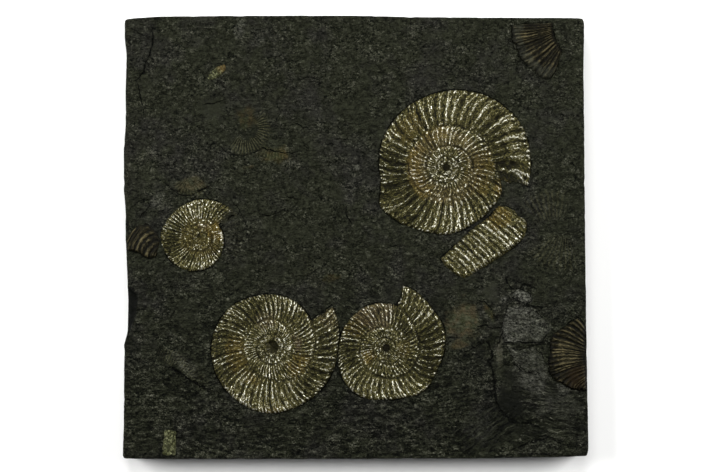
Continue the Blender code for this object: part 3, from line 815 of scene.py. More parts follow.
def addSliver(material):
    clearSelection()
    height = (sliver["rise"] + sunk) * mm
    bpy.ops.mesh.primitive_uv_sphere_add(segments=128, ring_count=64, radius=0.5)
    piece = bpy.context.object
    stretchTo(piece, sliver, 2 * height)
    x, y, z = readPlaces(piece).T
    ribs = 0.5 + 0.5 * np.cos(x / (sliver["ribSpacing"] * mm) * math.tau + hills(x, y, 2 * mm, 96) * 2)
    lumps = roughGround(x, y, 2 * mm, 97, layers=3)
    z = height * np.sqrt(np.maximum(z, 0) / height)   # steeper ends
    top = ease(0.1 * height, 0.6 * height, z)
    y = y + 0.35 * mm * hills(x, y * 0, 2.5 * mm, 98)
    z = z + (lumps * sliver["rough"] + ribs * sliver["ribHeight"] - 0.1) * mm * top
    # the hollows between the ribs are darkened, partly dust and partly painted shade
    paint(piece, {"crest": ribs * 0.6 + 0.3 * lumps, "hollow": 0.95 - 0.7 * ribs})
    settle(piece, sliver, x, y, z)
    finishPiece(piece, "shell_sliver", material)


# The slab. Its marks are drawn in millimetres from its centre.

slab = {
    "cells": (272, 260), "underCells": (68, 65), "edge": 0.5 * mm, "halves": (100 * mm, 95.2 * mm),
    "courses": (0.5, 1.0, 1.3, 1.5, 1.6, 1.8, 2.0, 2.0, 1.6, 1.1, 0.6),   # rows of the side, top first
    "moatDepth": 0.35, "moatWidth": 1.3, "pocket": 1.1, "bedDepth": 0.75, "chipDepth": 1.1,
}
# A line, its width, its depth, and how much the ground to its left stands higher.
cracks = {
    "crackLeft": ([(-87.6, 90.1), (-87.1, 84.9), (-88.0, 80.6), (-89.3, 77.2), (-90.6, 73.7), (-91.0, 71.1),
        (-94.0, 68.1)], 0.75, 0.55, -0.15),
    "crackLeftFoot": ([(-93.6, 65.6), (-92.7, 61.3), (-91.4, 55.7), (-91.0, 52.7)], 0.45, 0.4, -0.1),
    "crackCorner": ([(-95.7, 89.6), (-93.2, 87.9), (-90.1, 86.2)], 0.45, 0.25, 0),
    "scarpTop": ([(52.6, -38.5), (55.6, -37.6), (58.6, -38.9), (62.1, -38.9), (63.4, -40.2), (62.5, -42.8),
        (61.2, -46.2)], 0.7, 0.45, -0.2),
    "scarpLine": ([(56.5, -44.5), (58.6, -49.3), (59.1, -51.8), (56.9, -53.1), (58.6, -56.1), (59.5, -60.0),
        (59.9, -65.6), (60.4, -69.9), (62.1, -74.2), (65.1, -77.2), (67.7, -78.9), (70.7, -80.2),
        (75.0, -80.2), (78.5, -81.4)], 1.0, 0.7, 0),
    "scarpFoot": ([(70.2, -90.5), (72.4, -88.8), (75.0, -88.4), (78.4, -87.5), (82.3, -86.2)], 0.8, 0.4,
        0.2),
    "underGhost": ([(-57.5, 38.5), (-55.7, 36.7), (-53.2, 35.5), (-48.9, 35.0), (-44.6, 36.3),
        (-40.3, 37.6)], 0.45, 0.3, 0.2),
    "underFan": ([(-81.5, 23.0), (-79.4, 20.8), (-76.4, 18.7), (-72.9, 17.8), (-69.5, 18.3), (-66.9, 20.4),
        (-63.5, 21.7)], 0.5, 0.4, 0.2),
    "smallMouth": ([(-52.8, 14.8), (-50.2, 12.3), (-48.4, 8.8), (-47.2, 4.9), (-46.9, 1.0)], 0.35, 0.3,
        0.2),
    "overBrown": ([(-40.3, 38.5), (-36.8, 37.6), (-33.4, 36.7), (-29.1, 36.3), (-23.9, 37.2)], 0.5, 0.35,
        0.15),
    "curved": ([(-42.0, 12.7), (-40.7, 10.1), (-38.5, 9.2), (-35.1, 10.1), (-31.2, 11.4), (-28.2, 10.9),
        (-26.5, 9.2)], 0.4, 0.35, 0.15),
    "ridgeGroove": ([(-78.5, -56.6), (-75.5, -58.3), (-72.5, -60.6), (-69.1, -63.0), (-65.2, -64.3)], 1.4,
        0.8, 0.4),
    "flakeEdge": ([(64.7, -18.3), (66.0, -20.6), (67.2, -22.2), (70.7, -21.7), (73.3, -20.0),
        (76.7, -21.7)], 0.8, 0.5, 0.2),
    "flakeFoot": ([(68.5, -26.0), (70.5, -27.4), (73.2, -28.6), (78.8, -30.2), (82.4, -29.9)], 0.7, 0.4,
        0.25),
    "plateauTop": ([(64.7, -45.2), (70.7, -45.2), (75.0, -45.4), (81.4, -45.2)], 0.6, 0.35, 0.15),
    "plateauMiddle": ([(63.4, -55.3), (66.4, -54.8), (69.8, -55.3)], 0.35, 0.25, 0.1),
    "plateauFoot": ([(68.0, -54.5), (71.1, -57.0), (73.7, -58.3), (77.6, -58.6)], 0.6, 0.35, 0.15),
    "shortA": ([(-33.4, 56.5), (-32.5, 53.9), (-33.8, 51.4)], 0.4, 0.25, 0.1),
    "shortB": ([(-25.2, 48.8), (-22.6, 47.5), (-20.1, 46.6)], 0.4, 0.25, 0.1),
    "shortC": ([(-8.9, 41.9), (-5.0, 42.3)], 0.4, 0.3, 0.1),
    "shortD": ([(-28.7, 17.4), (-25.6, 16.5)], 0.45, 0.35, 0.1),
    "shortE": ([(-4.1, 12.2), (-3.7, 9.2), (-2.4, 6.6)], 0.5, 0.35, 0.1),
    "shortF": ([(-23.9, 67.7), (-20.5, 69.0), (-16.2, 68.1)], 0.4, 0.25, 0.1),
    "shortG": ([(-92.7, 8.4), (-91.0, 10.9), (-88.9, 13.1), (-85.0, 13.5)], 0.4, 0.3, 0.1),
    "shortH": ([(-64.3, 57.4), (-60.9, 57.4), (-57.9, 58.7)], 0.45, 0.3, 0.15),
    "shortI": ([(-95.7, 13.5), (-92.7, 15.7), (-88.4, 16.5)], 0.4, 0.25, 0.1),
    "lensEdge": ([(53.5, -27.8), (55.6, -27.3), (57.8, -30.3), (59.5, -33.8), (61.2, -35.5)], 0.4, 0.3,
        0.1),
    "rustFoot": ([(46.6, -49.3), (49.6, -48.4), (52.6, -46.2), (54.8, -45.4)], 0.5, 0.3, 0.1),
}
# The bed laid bare at the lower right, and the chip at the left edge.
lowerBed = [
    (60.4, -34.2), (62.9, -39.4), (57.8, -44.5), (59.1, -50.1), (57.8, -53.6), (59.5, -57.9), (60.4, -67.3),
    (62.1, -72.9), (66.4, -78.1), (76.0, -82.0), (104.0, -84.0), (104.0, -34.0),
]
chip = [(-101.0, -20.3), (-96.7, -21.3), (-93.5, -24.7), (-94.0, -33.5), (-96.7, -40.0), (-101.0, -43.5)]
# Faint ribbed shells: centre, first and last radius, first and last angle, ribs in a turn,
# height, how clear the ribs are, and how brown.
ghosts = {
    "ghostShell": ((-47.6, 46.9), 4.5, 10.7, -130, 40, 46, 0.2, 1.1, 0.0),
    "brownPatch": ((-34.0, 50.0), 11.0, 17.5, -118, -70, 70, 0.12, 0.6, 0.4),
    "fan": ((-71.2, 26.5), 2.0, 8.5, -150, -30, 34, 0.16, 0.8, 0.3),
    "ring": ((-11.7, -11.9), 6.5, 11.5, 160, 260, 44, 0.08, 0.25, 0.0),
    "smallOuterTurn": ((-66.5, 0.2), 10.5, 17.8, -35, 44, 56, 0.2, 0.25, 0.0),
    "ghostRibs": ((86.0, -4.0), 12.0, 24.0, 80, 125, 60, 0.14, 0.65, 0.0),
    "ridge": ((-92.2, -78.5), 27.0, 32.5, 31, 70, 150, 0.14, 0.9, 0.0),
    "rightFan": ((90.0, 6.0), 5.0, 20.0, -140, -75, 50, 0.12, 0.65, 0.0),
}
# Centre, half sizes, turn, and how much brown, pale, dark and smoothness each stain gives.
stains = {
    "rust": ((46.4, -36.0), (8.0, 8.6), 0, 0.9, 0.2, 0.0, 0.5),
    "rustFoot": ((44.5, -46.0), (4.0, 2.4), 10, 0.8, 0.1, 0.0, 0.5),
    "ghostCore": ((-47.6, 51.5), (5.0, 5.5), 0, 0.5, 0.0, 0.2, 0.4),
    "ghostGround": ((-45.5, 44.5), (10.5, 8.5), 20, 0.0, 0.0, 0.4, 0.4),
    "brownPatch": ((-34.0, 35.0), (5.5, 3.2), 0, 0.85, 0.0, 0.1, 0.1),
    "orangeDot": ((-46.3, 30.3), (3.0, 0.9), 5, 0.8, 0.1, 0.0, 0.0),
    "fanGold": ((-70.0, 22.8), (4.6, 3.4), 0, 0.75, 0.15, 0.0, 0.0),
    "lens": ((57.0, -31.2), (1.6, 4.4), 28, 0.6, 0.0, 0.25, 0.4),
    "topSpecks": ((-49.7, 90.0), (2.6, 5.5), -10, 0.0, 0.35, 0.0, 0.0),
    "topSpecksRight": ((-42.0, 84.0), (4.0, 2.0), 20, 0.0, 0.25, 0.0, 0.0),
    "leftSpecks": ((-86.0, 16.0), (5.0, 2.6), 30, 0.0, 0.25, 0.0, 0.0),
    "darkSmooth": ((-62.0, 56.0), (5.5, 5.0), 0, 0.0, 0.0, 0.25, 0.9),
    "flakeDot": ((63.8, -26.4), (1.2, 0.8), 0, 0.0, 0.9, 0.0, 0.2),
    "plateauFoot": ((76.0, -60.0), (7.0, 9.0), 30, 0.0, 0.35, 0.0, 0.3),
    "greenBand": ((62.0, -50.0), (1.7, 6.0), 3, 0.2, 0.25, 0.0, 1.0),
    "smoothSpot": ((58.6, -23.6), (4.0, 4.5), 0, 0.0, 0.0, 0.0, 1.0),
    "darkBed": ((67.0, -71.5), (6.0, 8.0), 15, 0.0, 0.0, 0.8, 0.9),
    "darkBedTop": ((66.0, -60.5), (4.4, 6.5), 0, 0.0, 0.0, 0.5, 0.6),
    "foldDark": ((60.0, -84.0), (13.0, 7.5), 28, 0.0, 0.0, 0.35, 0.7),
    "darkFoot": ((76.0, -84.0), (9.0, 5.0), -5, 0.0, 0.0, 0.6, 0.4),
    "smoothFoot": ((88.0, -72.0), (10.0, 6.0), 0, 0.0, 0.1, 0.0, 0.7),
    "ovalLeft": ((-71.2, -33.0), (5.0, 6.0), 0, 0.0, 0.0, 0.2, 0.4),
    "tanSpot": ((0.6, 29.9), (1.0, 1.4), 0, 0.4, 0.7, 0.0, 0.0),
    "brownDots": ((-11.0, -17.4), (4.0, 2.0), 10, 0.5, 0.0, 0.0, 0.0),
    "ridge": ((-73.0, -55.2), (8.5, 2.8), -38, 0.0, 0.25, 0.0, 0.0),
    "foldedBed": ((53.0, -80.0), (7.0, 9.0), -30, 0.0, 0.1, 0.3, 0.5),
}
# Thin sheets of rock with a crisp edge: outline, height, paleness.
ledges = {
    "plateau": ([(63.3, -36.7), (65.0, -30.5), (70.5, -29.1), (76.0, -29.8), (80.1, -34.6), (84.3, -38.8),
        (80.1, -45.0), (78.8, -45.3), (64.3, -45.3), (62.9, -41.5)], 0.5, 0.8),
    "lowerSheet": ([(65.7, -47.0), (70.5, -48.4), (76.0, -47.0), (80.1, -49.8), (81.5, -55.3),
        (76.0, -58.0), (73.2, -58.0), (68.4, -53.9)], 0.35, 0.55),
    "flake": ([(67.8, -24.3), (70.5, -22.3), (74.6, -23.6), (76.0, -27.1), (72.6, -29.1), (69.1, -27.1)],
        0.5, 2.3),
    "bottomFlap": ([(69.1, -90.4), (73.2, -89.0), (81.5, -85.6), (88.4, -88.6), (86.3, -93.1),
        (67.7, -93.1)], 0.4, 0.25),
    "palePatch": ([(85.6, -62.2), (92.5, -64.2), (91.8, -67.7), (88.4, -67.0)], 0.15, 0.9),
}


def slabEdge(direction):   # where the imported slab's side lies, seen from its middle in that direction
    _, place, _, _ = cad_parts["shale_slab"].ray_cast((0, 0, 3 * mm), direction)
    return np.array(place[:2])


# Spreads a square from -1 to 1 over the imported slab's outline, from its four sides inwards.

def fitOutline(x, y):
    halves = np.array(slab["halves"])
    ticks = np.linspace(-1, 1, 161)

    def shift(u, v):
        flat = np.array([u, v]) * halves
        return slabEdge((flat[0], flat[1], 0)) - flat

    left, right = (np.array([shift(u, t) for t in ticks]) for u in (-1, 1))
    low, high = (np.array([shift(t, v) for t in ticks]) for v in (-1, 1))

    def along(side, t):
        return np.stack([np.interp(t, ticks, side[:, k]) for k in (0, 1)], -1)

    s, t = ((x + 1) / 2)[:, None], ((y + 1) / 2)[:, None]
    moved = along(left, y) * (1 - s) + along(right, y) * s + along(low, x) * (1 - t) + along(high, x) * t
    for corner, weight in ((left[0], (1 - s) * (1 - t)), (left[-1], (1 - s) * t),
                           (right[0], s * (1 - t)), (right[-1], s * t)):
        moved = moved - corner * weight
    return np.stack([x, y], -1) * halves + moved


def oval(x, y, centre, halves, turn, seed):   # 1 in the middle of an oval, fading over its ragged rim
    c, s = math.cos(math.radians(turn)), math.sin(math.radians(turn))
    dx, dy = x - centre[0] * mm, y - centre[1] * mm
    reach = np.hypot((dx * c + dy * s) / (halves[0] * mm), (dy * c - dx * s) / (halves[1] * mm))
    return ease(1.15, 0.65, reach + 0.35 * roughGround(x, y, 5 * mm, seed, layers=3))


def waves(x, y, turnX, turnY, spacing, sway, size, seed):   # even ridges that sway a little
    run = y * turnY - x * turnX + sway * mm * hills(x, y, size * mm, seed)
    return np.sin(run / (spacing * mm) * math.tau)


def drawLine(marks, gap, reach, strength=1.0):   # how near a line is, and how far to either side of it; the line is painted dark as a crack and as painted shadow along steps, ledges and moats
    near = np.clip(1 - abs(gap) / reach, 0, 1) * strength
    nearer = near > marks["crackAndShadowLine"]
    marks["crackAndShadowLine"] = np.where(nearer, near, marks["crackAndShadowLine"])
    marks["side"] = np.where(nearer, 0.5 + 0.5 * gap / reach, marks["side"])


def deepen(marks, name, values):
    marks[name] = np.maximum(marks[name], values)


def splitRock(x, y, marks):   # the split face itself: its height, and how each crumb of it lies
    onLowerBed = ease(0.5 * mm, -0.5 * mm, outlineGap(x, y, np.array(lowerBed) * mm, 6 * mm))
    lower = ease(20 * mm, -70 * mm, y)   # the texture is drawn out sideways in the lower half
    warpX, warpY = wander(x, y, 1.6 * mm, 9 * mm, 201, 202)
    wideX = warpX * (1 - 0.45 * lower)
    rough = (1 - 0.8 * marks["smooth"]) * (1 - 0.35 * onLowerBed)
    height = 0.20 * roughGround(x, y, 45 * mm, 203, layers=2)
    flakes = 1.6 * roughGround(wideX, warpY, 11 * mm, 204, layers=3)
    step = flakes - np.floor(flakes)
    height += 0.10 * (np.floor(flakes) + ease(0.0, 0.15, step)) * rough
    crumbs = roughGround(wideX, warpY, 3.6 * mm, 205, layers=2, fall=0.6)
    nubs = roughGround(wideX, y, 1.9 * mm, 208, layers=2, fall=0.7)
    height += (0.06 * crumbs + 0.07 * nubs) * rough * (0.8 + 0.4 * lower)
    gap = abs(roughGround(wideX, warpY, 7 * mm, 206, layers=3)) + 0.10 * (hills(x, y, 9 * mm, 209) < 0.1)
    creases = 1 - np.clip(gap / 0.06, 0, 1)   # thin cracks, which break off here and there
    height -= 0.16 * creases * rough
    ripples = waves(x, y, 0, 1, 2.3, 1.5, 12, 207)
    ripples *= onLowerBed * ease(-58 * mm, -72 * mm, y) * ease(68 * mm, 76 * mm, x)
    height += 0.12 * ripples
    folded = oval(x, y, (58.0, -82.0), (16.0, 8.5), 28, 218)
    folds = waves(x, y, 0.6, 0.8, 1.9, 2.5, 9, 217) * folded
    height += 0.16 * folds
    height -= slab["bedDepth"] * onLowerBed * (1 - 0.85 * ease(60 * mm, 100 * mm, x))
    inRipples = (oval(x, y, (82.0, -70.0), (15.0, 10.0), 0, 219),
                 oval(x, y, (84.0, -83.0), (14.0, 6.0), 8, 220))
    marks["folds"] = 0.9 * folded
    marks["ripples"] = 0.85 * np.maximum(*inRipples) * (1 - folded)
    # raised crumbs, folds and ripples are painted lighter and creases darker: painted light and shade on the
    # relief
    marks["raised"] = (0.5 + (0.12 * crumbs + 0.22 * nubs - 0.5 * creases) * rough
                       + 0.16 * folds + 0.1 * ripples)
    deepen(marks, "dark", 0.3 * onLowerBed * ease(-58 * mm, -66 * mm, y) + 0.12 * lower)
    return height, crumbs


def layLedges(x, y, marks):
    height = 0
    for k, (outline, high, pale) in enumerate(ledges.values()):
        wx, wy = wander(x, y, 0.5 * mm, 1.8 * mm, 431 + k, 441 + k)
        gap = outlineGap(wx, wy, np.array(outline) * mm, 5 * mm)
        onLedge = ease(0.4 * mm, -0.4 * mm, gap)
        height = height + high * onLedge
        pale = pale * (0.6 + 0.5 * ease(82 * mm, 62 * mm, x)) * (0.8 + 0.5 * hills(x, y, 4 * mm, 471 + k))
        deepen(marks, "pale", pale * onLedge)
        # a painted shadow line along the ledge's edge
        drawLine(marks, gap, 1.6 * mm, ease(-0.3, 0.1, hills(x, y, 7 * mm, 461 + k)) * (high > 0.2))
    return height


def openCracks(x, y, marks):
    height = 0
    for k, (line, width, depth, lift) in enumerate(cracks.values()):
        wx, wy = wander(x, y, 0.6 * mm, 1.8 * mm, 401 + k, 451 + k)
        gap, side = distanceTo(wx, wy, np.array(line) * mm)
        height = height - 0.8 * depth * np.exp(-(gap / (1.2 * width * mm)) ** 2)
        height = height + lift * (side > 0) * np.exp(-gap / (2.5 * mm))
        # the crack or step is painted dark, a painted shadow in and beside it
        drawLine(marks, side * gap, 4 * width * mm)
    return height


def sinkFossils(x, y, height, marks):   # a shallow moat round each fossil, with a painted shadow line along it, and a pocket under it
    patchy = np.clip(0.3 + 1.4 * hills(x, y, 9 * mm, 215) + 0.7 * (y > 52 * mm), -0.35, 1)
    outlines = [(shellOutline(shell), 1) for shell in shells.values()]
    outlines += [(fragmentOutline(fragment), fragment.get("moatShadow", 1)) for fragment in fragments.values()]
    for outline, moatShadow in outlines:
        gap = outlineGap(x, y, outline, 8 * mm)
        close = np.exp(-(np.maximum(gap, 0) / (slab["moatWidth"] * mm)) ** 2) * (gap < 7 * mm)
        height = height - slab["moatDepth"] * close * patchy
        # a painted shadow along the moat's outer wall
        drawLine(marks, gap - 0.3 * mm, 2.0 * mm, moatShadow * ease(0.15, 0.6, patchy))
        inside = ease(-0.3 * mm, -1.0 * mm, gap)
        height = height * (1 - inside) - slab["pocket"] * inside
    return height


# Height of the slab's top face over its bed in metres, and the marks to paint on it.

def shaleGround(x, y):
    marks = {name: np.zeros(len(x)) for name in ("brown", "pale", "dark", "smooth", "crackAndShadowLine")}
    marks["side"] = np.full(len(x), 0.5)
    for k, (centre, halves, turn, *amounts) in enumerate(stains.values()):
        spot = oval(x, y, centre, halves, turn, 300 + 7 * k)
        for name, amount in zip(("brown", "pale", "dark", "smooth"), amounts):
            deepen(marks, name, spot * amount)
    height, crumbs = splitRock(x, y, marks)
    height = height + layLedges(x, y, marks) + openCracks(x, y, marks)
    for centre, first, last, start, stop, _, high, _, _ in ghosts.values():
        height = height + 1.5 * high * ringPart(x, y, centre, start, stop, first, last)
    height = sinkFossils(x, y, height, marks)
    chipGap = outlineGap(x, y, np.array(chip) * mm, 6 * mm) / mm
    inChip = np.maximum(-chipGap, 0)
    height -= (slab["chipDepth"] + 0.1 * inChip) * ease(0, 1.2, inChip) * (1 + 0.1 * crumbs)
    deepen(marks, "dark", 0.95 * ease(0.3, -0.5, chipGap))
    deepen(marks, "smooth", ease(0.2, -0.8, chipGap))
    return height * mm, marks


def addBlock():   # a grid for the top, walls let down from it row by row, and a coarser grid below
    clearSelection()
    piece = addGrid(*slab["cells"], 2, bed)
    bpy.ops.object.transform_apply(location=True, rotation=True, scale=True)
    bpy.ops.object.mode_set(mode="EDIT")
    openEdges(piece)
    for course in slab["courses"]:
        extrudeDown(course * mm)
    addGrid(*slab["underCells"], 2)
    openEdges(piece)
    bpy.ops.mesh.bridge_edge_loops()
    bpy.ops.object.mode_set(mode="OBJECT")
    return piece


def addSlab(material):
    piece = addBlock()
    squareX, squareY, z = readPlaces(piece).T
    x, y = fitOutline(squareX, squareY).T
    height, marks = shaleGround(x, y)
    level = np.clip(z / bed, 0, 1)
    outX, outY = squareX ** 24, squareY ** 24
    away = np.hypot(outX, outY) + 1e-9
    rim = np.maximum(abs(squareX), abs(squareY)) > 0.999
    run = np.where(outX > outY, y, x)
    bedding = 0.5 + 0.5 * hills(run, z * 9, 11 * mm, 211) + 0.35 * hills(run, z * 3, 3 * mm, 212)
    nicks = ease(0.25, 0.8, hills(run, z, 6 * mm, 213)) * ease(0.75, 1.0, level)
    inward = rim * (0.28 * np.clip(bedding, 0, 1.4) * ease(1.0, 0.93, level) + 0.25 * nicks) * mm
    inward += rim * slab["edge"] * (ease(0.97, 1.0, level) * 0.5 + ease(0.03, 0.0, level))
    x = x - np.sign(squareX) * inward * outX / away
    y = y - np.sign(squareY) * inward * outY / away
    under = (0.12 * roughGround(x, y, 14 * mm, 214, layers=3) + 0.1) * mm
    z = z + height * level ** 3 + np.clip(under, 0, 1 * mm) * (level < 0.001) * ~rim
    writePlaces(piece, x, y, z - rim * (level > 0.999) * 0.15 * mm)
    plain = (rim | (level < 0.001)) & (level < 0.999)   # the sides and the underside have no marks
    paint(piece, {name: np.where(plain, 0.5 if name in ("raised", "side") else 0.0, values)
                  for name, values in marks.items()})
    finishPiece(piece, "shale_slab", material)


# Materials

shaleLook = {
    "green": screen(39, 41, 30), "purple": screen(40, 40, 35), "light": screen(97, 97, 84),
    "deep": screen(5, 6, 4), "brown": screen(66, 55, 28), "moss": screen(50, 53, 29),
    "pale": screen(118, 118, 108), "rib": screen(82, 81, 58),
    "grain": 0.6 * mm, "facet": 0.8 * mm, "specular": 0.035,
    "combed": [("ripples", 0.1, 2.8, 0.3), ("folds", -0.6, 2.6, 0.08)],   # mark, turn, contrast, paleness
}


def hairCracks(tree, where, size, width):   # thin dark lines that wander, about that far apart: painted shade in fine cracks
    level = noise(tree, where, size, 4.0)
    return stretch(tree, maths(tree, "ABSOLUTE", less(tree, level)), width, 0.0)


def combed(tree, where, turn):   # fine streaks that run one way and wave a little
    sway = put(tree, "CombineXYZ", {1: times(tree, noise(tree, where, 8 * mm, 2.0), 5 * mm)})[0]
    streaks = turned(tree, vectors(tree, "ADD", where, sway), turn)
    return noise(tree, vectors(tree, "MULTIPLY", streaks, (0.09, 1, 1)), 1.0 * mm, 3.0, 0.75)


def faintShells(tree, where):   # the ribs of all the faint shells, and where the shale is brown
    ribs, brown = 0.0, readMark(tree, "brown")
    for centre, first, last, start, stop, count, high, clear, tint in ghosts.values():
        ghost = useGroup(tree, ghostGroup, {
            "Vector": where, "Centre": (centre[0] * mm, centre[1] * mm, 0), "First": first * mm,
            "Last": last * mm, "Middle": math.radians(start + stop) / 2,
            "Half": math.radians(stop - start) / 2, "Ribs": count})
        brown = largest(tree, brown, times(tree, ghost["Mask"], tint))
        ribs = largest(tree, ribs, times(tree, ghost["Height"], clear))
    return ribs, brown


def makeShale():
    material, tree, shader, coordinates = newMaterial("bituminousShale")
    where, look = coordinates["Object"], shaleLook
    raised, pale, crackAndShadowLine, side, dark, smooth = (
        readMark(tree, mark) for mark in ("raised", "pale", "crackAndShadowLine", "side", "dark", "smooth"))
    lower = stretch(tree, put(tree, "SeparateXYZ", {0: where})[1], 10 * mm, -60 * mm)
    rough = stretch(tree, smooth, 0.0, 1.0, (1.0, 0.25))
    wide, wider, widest = (vectors(tree, "MULTIPLY", where, (part, 1, 1)) for part in (0.75, 0.5, 0.38))
    grain = noise(tree, where, look["grain"], 3.0, 0.8)
    facets = useGroup(tree, crystalGroup, {"Vector": wide, "Scale": 1 / look["facet"], "Tilt": 1.0})
    patches = noise(tree, where, 6 * mm, 2.0)

    hairShade = times(tree, hairCracks(tree, wider, 4 * mm, 0.022), stretch(tree, patches, 0.44, 0.52))
    finer = times(tree, hairCracks(tree, wider, 2 * mm, 0.035), stretch(tree, patches, 0.6, 0.4, (0.3, 1.0)))
    creased = stretch(tree, noise(tree, widest, 1.2 * mm, 3.0, 0.65), 0.47, 0.4)
    creased = times(tree, creased, stretch(tree, lower, 0.0, 1.0, (0.12, 0.9)))
    hairShade = largest(tree, hairShade, finer, creased)
    jagged = addUp(tree, (maths(tree, "ABSOLUTE", less(tree, side)), 2.0), (grain, 0.3),
                   (noise(tree, where, 2.5 * mm, 3.0), 0.4))
    brokenShadowLine = times(tree, stretch(tree, jagged, 0.5, 0.4), stretch(tree, crackAndShadowLine, 0.2, 0.4))

    hackly = stretch(tree, noise(tree, where, 9 * mm, 2.0), 0.4, 0.6, (0.5, 1.05))
    hackly = addUp(tree, (hackly, 1.0), (lower, 0.12))
    hackly = times(tree, hackly, stretch(tree, smooth, 0.0, 1.0, (1.0, 0.35)))
    specks = addUp(tree, (less(tree, grain), 2.0), (less(tree, facets["Mask"]), 0.42))
    drawnOut = times(tree, less(tree, noise(tree, widest, 2.4 * mm, 4.0, 0.72)), lower)
    # lightness holds painted light and shade on the relief, besides the speckled grain
    lightness = addUp(tree, (raised, 0.6), (times(tree, specks, hackly), 1.0), (lower, -0.03),
                      (drawnOut, 1.05))
    for mark, turn, contrast, paleness in look["combed"]:
        streaks = less(tree, combed(tree, where, turn))
        streaks = addUp(tree, (streaks, contrast), (specks, 0.25), (1.0, paleness))
        lightness = put(tree, "Mix", {0: readMark(tree, mark), 2: lightness, 3: streaks})[0]

    colours = addUp(tree, (noise(tree, where, 22 * mm, 2.0), 0.7), (noise(tree, where, 5 * mm, 2.0), 0.3))
    colour = ramp(tree, colours, look["green"], (0.48, 0.64, look["purple"]))
    colour = blend(tree, dark, colour, look["deep"])
    colour = ramp(tree, lightness, colour, (0.44, 0.95, look["light"]), (0.34, -0.05, look["deep"]))
    flecks = vectors(tree, "MULTIPLY", turned(tree, where, 0.6), (0.4, 1, 1))
    mottle = addUp(tree, (noise(tree, flecks, 0.7 * mm, 3.0, 0.8), 1.3), (grain, 0.8), (facets["Mask"], 0.2))
    mottle = stretch(tree, mottle, 0.96, 1.5)
    ribs, brown = faintShells(tree, where)
    spotty = stretch(tree, addUp(tree, (mottle, 0.6), (patches, 0.8)), 0.3, 0.9, (0.2, 1.0))
    brown = times(tree, brown, spotty)
    tan = ramp(tree, noise(tree, where, 4 * mm, 3.0), look["moss"], (0.42, 0.58, look["brown"]))
    colour = blend(tree, brown, colour, tan)
    colour = blend(tree, times(tree, ribs, stretch(tree, grain, 0.35, 0.65, (0.1, 0.7))), colour, look["rib"])
    colour = blend(tree, times(tree, pale, mottle), colour, look["pale"])
    # the fine cracks, the step and ledge edges and the moats get painted shade, near black
    colour = blend(tree, largest(tree, times(tree, hairShade, rough, 0.85), brokenShadowLine), colour, look["deep"])

    height = addUp(tree, (grain, 0.5 * mm), (noise(tree, wide, 1.4 * mm, 3.0, 0.7), 0.5 * mm),
                   (facets["Height"], 0.9), (hairShade, -0.25 * mm))
    height = addUp(tree, (times(tree, height, rough), 1.0), (brokenShadowLine, -0.5 * mm), (ribs, 0.25 * mm))
    feed(tree, shader, {
        "Base Color": colour, "Normal": bumped(tree, height), "Specular IOR Level": look["specular"],
        "Roughness": stretch(tree, facets["Mask"], 0.0, 1.0, (0.5, 0.36))})
    return material


pyriteLook = {
    "grooveShade": screen(11, 10, 4), "olive": screen(56, 54, 28), "gold": screen(110, 104, 63),
    "paintedGlint": screen(226, 225, 212), "golden": screen(122, 103, 46), "pink": screen(118, 102, 80),
    "paintedShade": screen(62, 61, 35), "dustAndShade": screen(12, 11, 6), "rock": screen(24, 25, 17),
    "bare": screen(46, 46, 35),
    "crystal": 0.42 * mm, "tilt": 1.1, "longer": 0.4, "specular": 0.05,
    # these weights paint highlight into the colour on rib crests, streaks and beads and on the highlit zones,
    # and paint shade on the dim zones
    "marks": {"crest": 0.56, "streak": 0.22, "bead": 0.5, "bright": 0.17, "paintedShade": -0.16},
    # the tint for the dim zones is a painted shade, a darker copy of the olive
    "tints": {"paintedShade": 0.55, "golden": 0.7, "pink": 0.6},
}


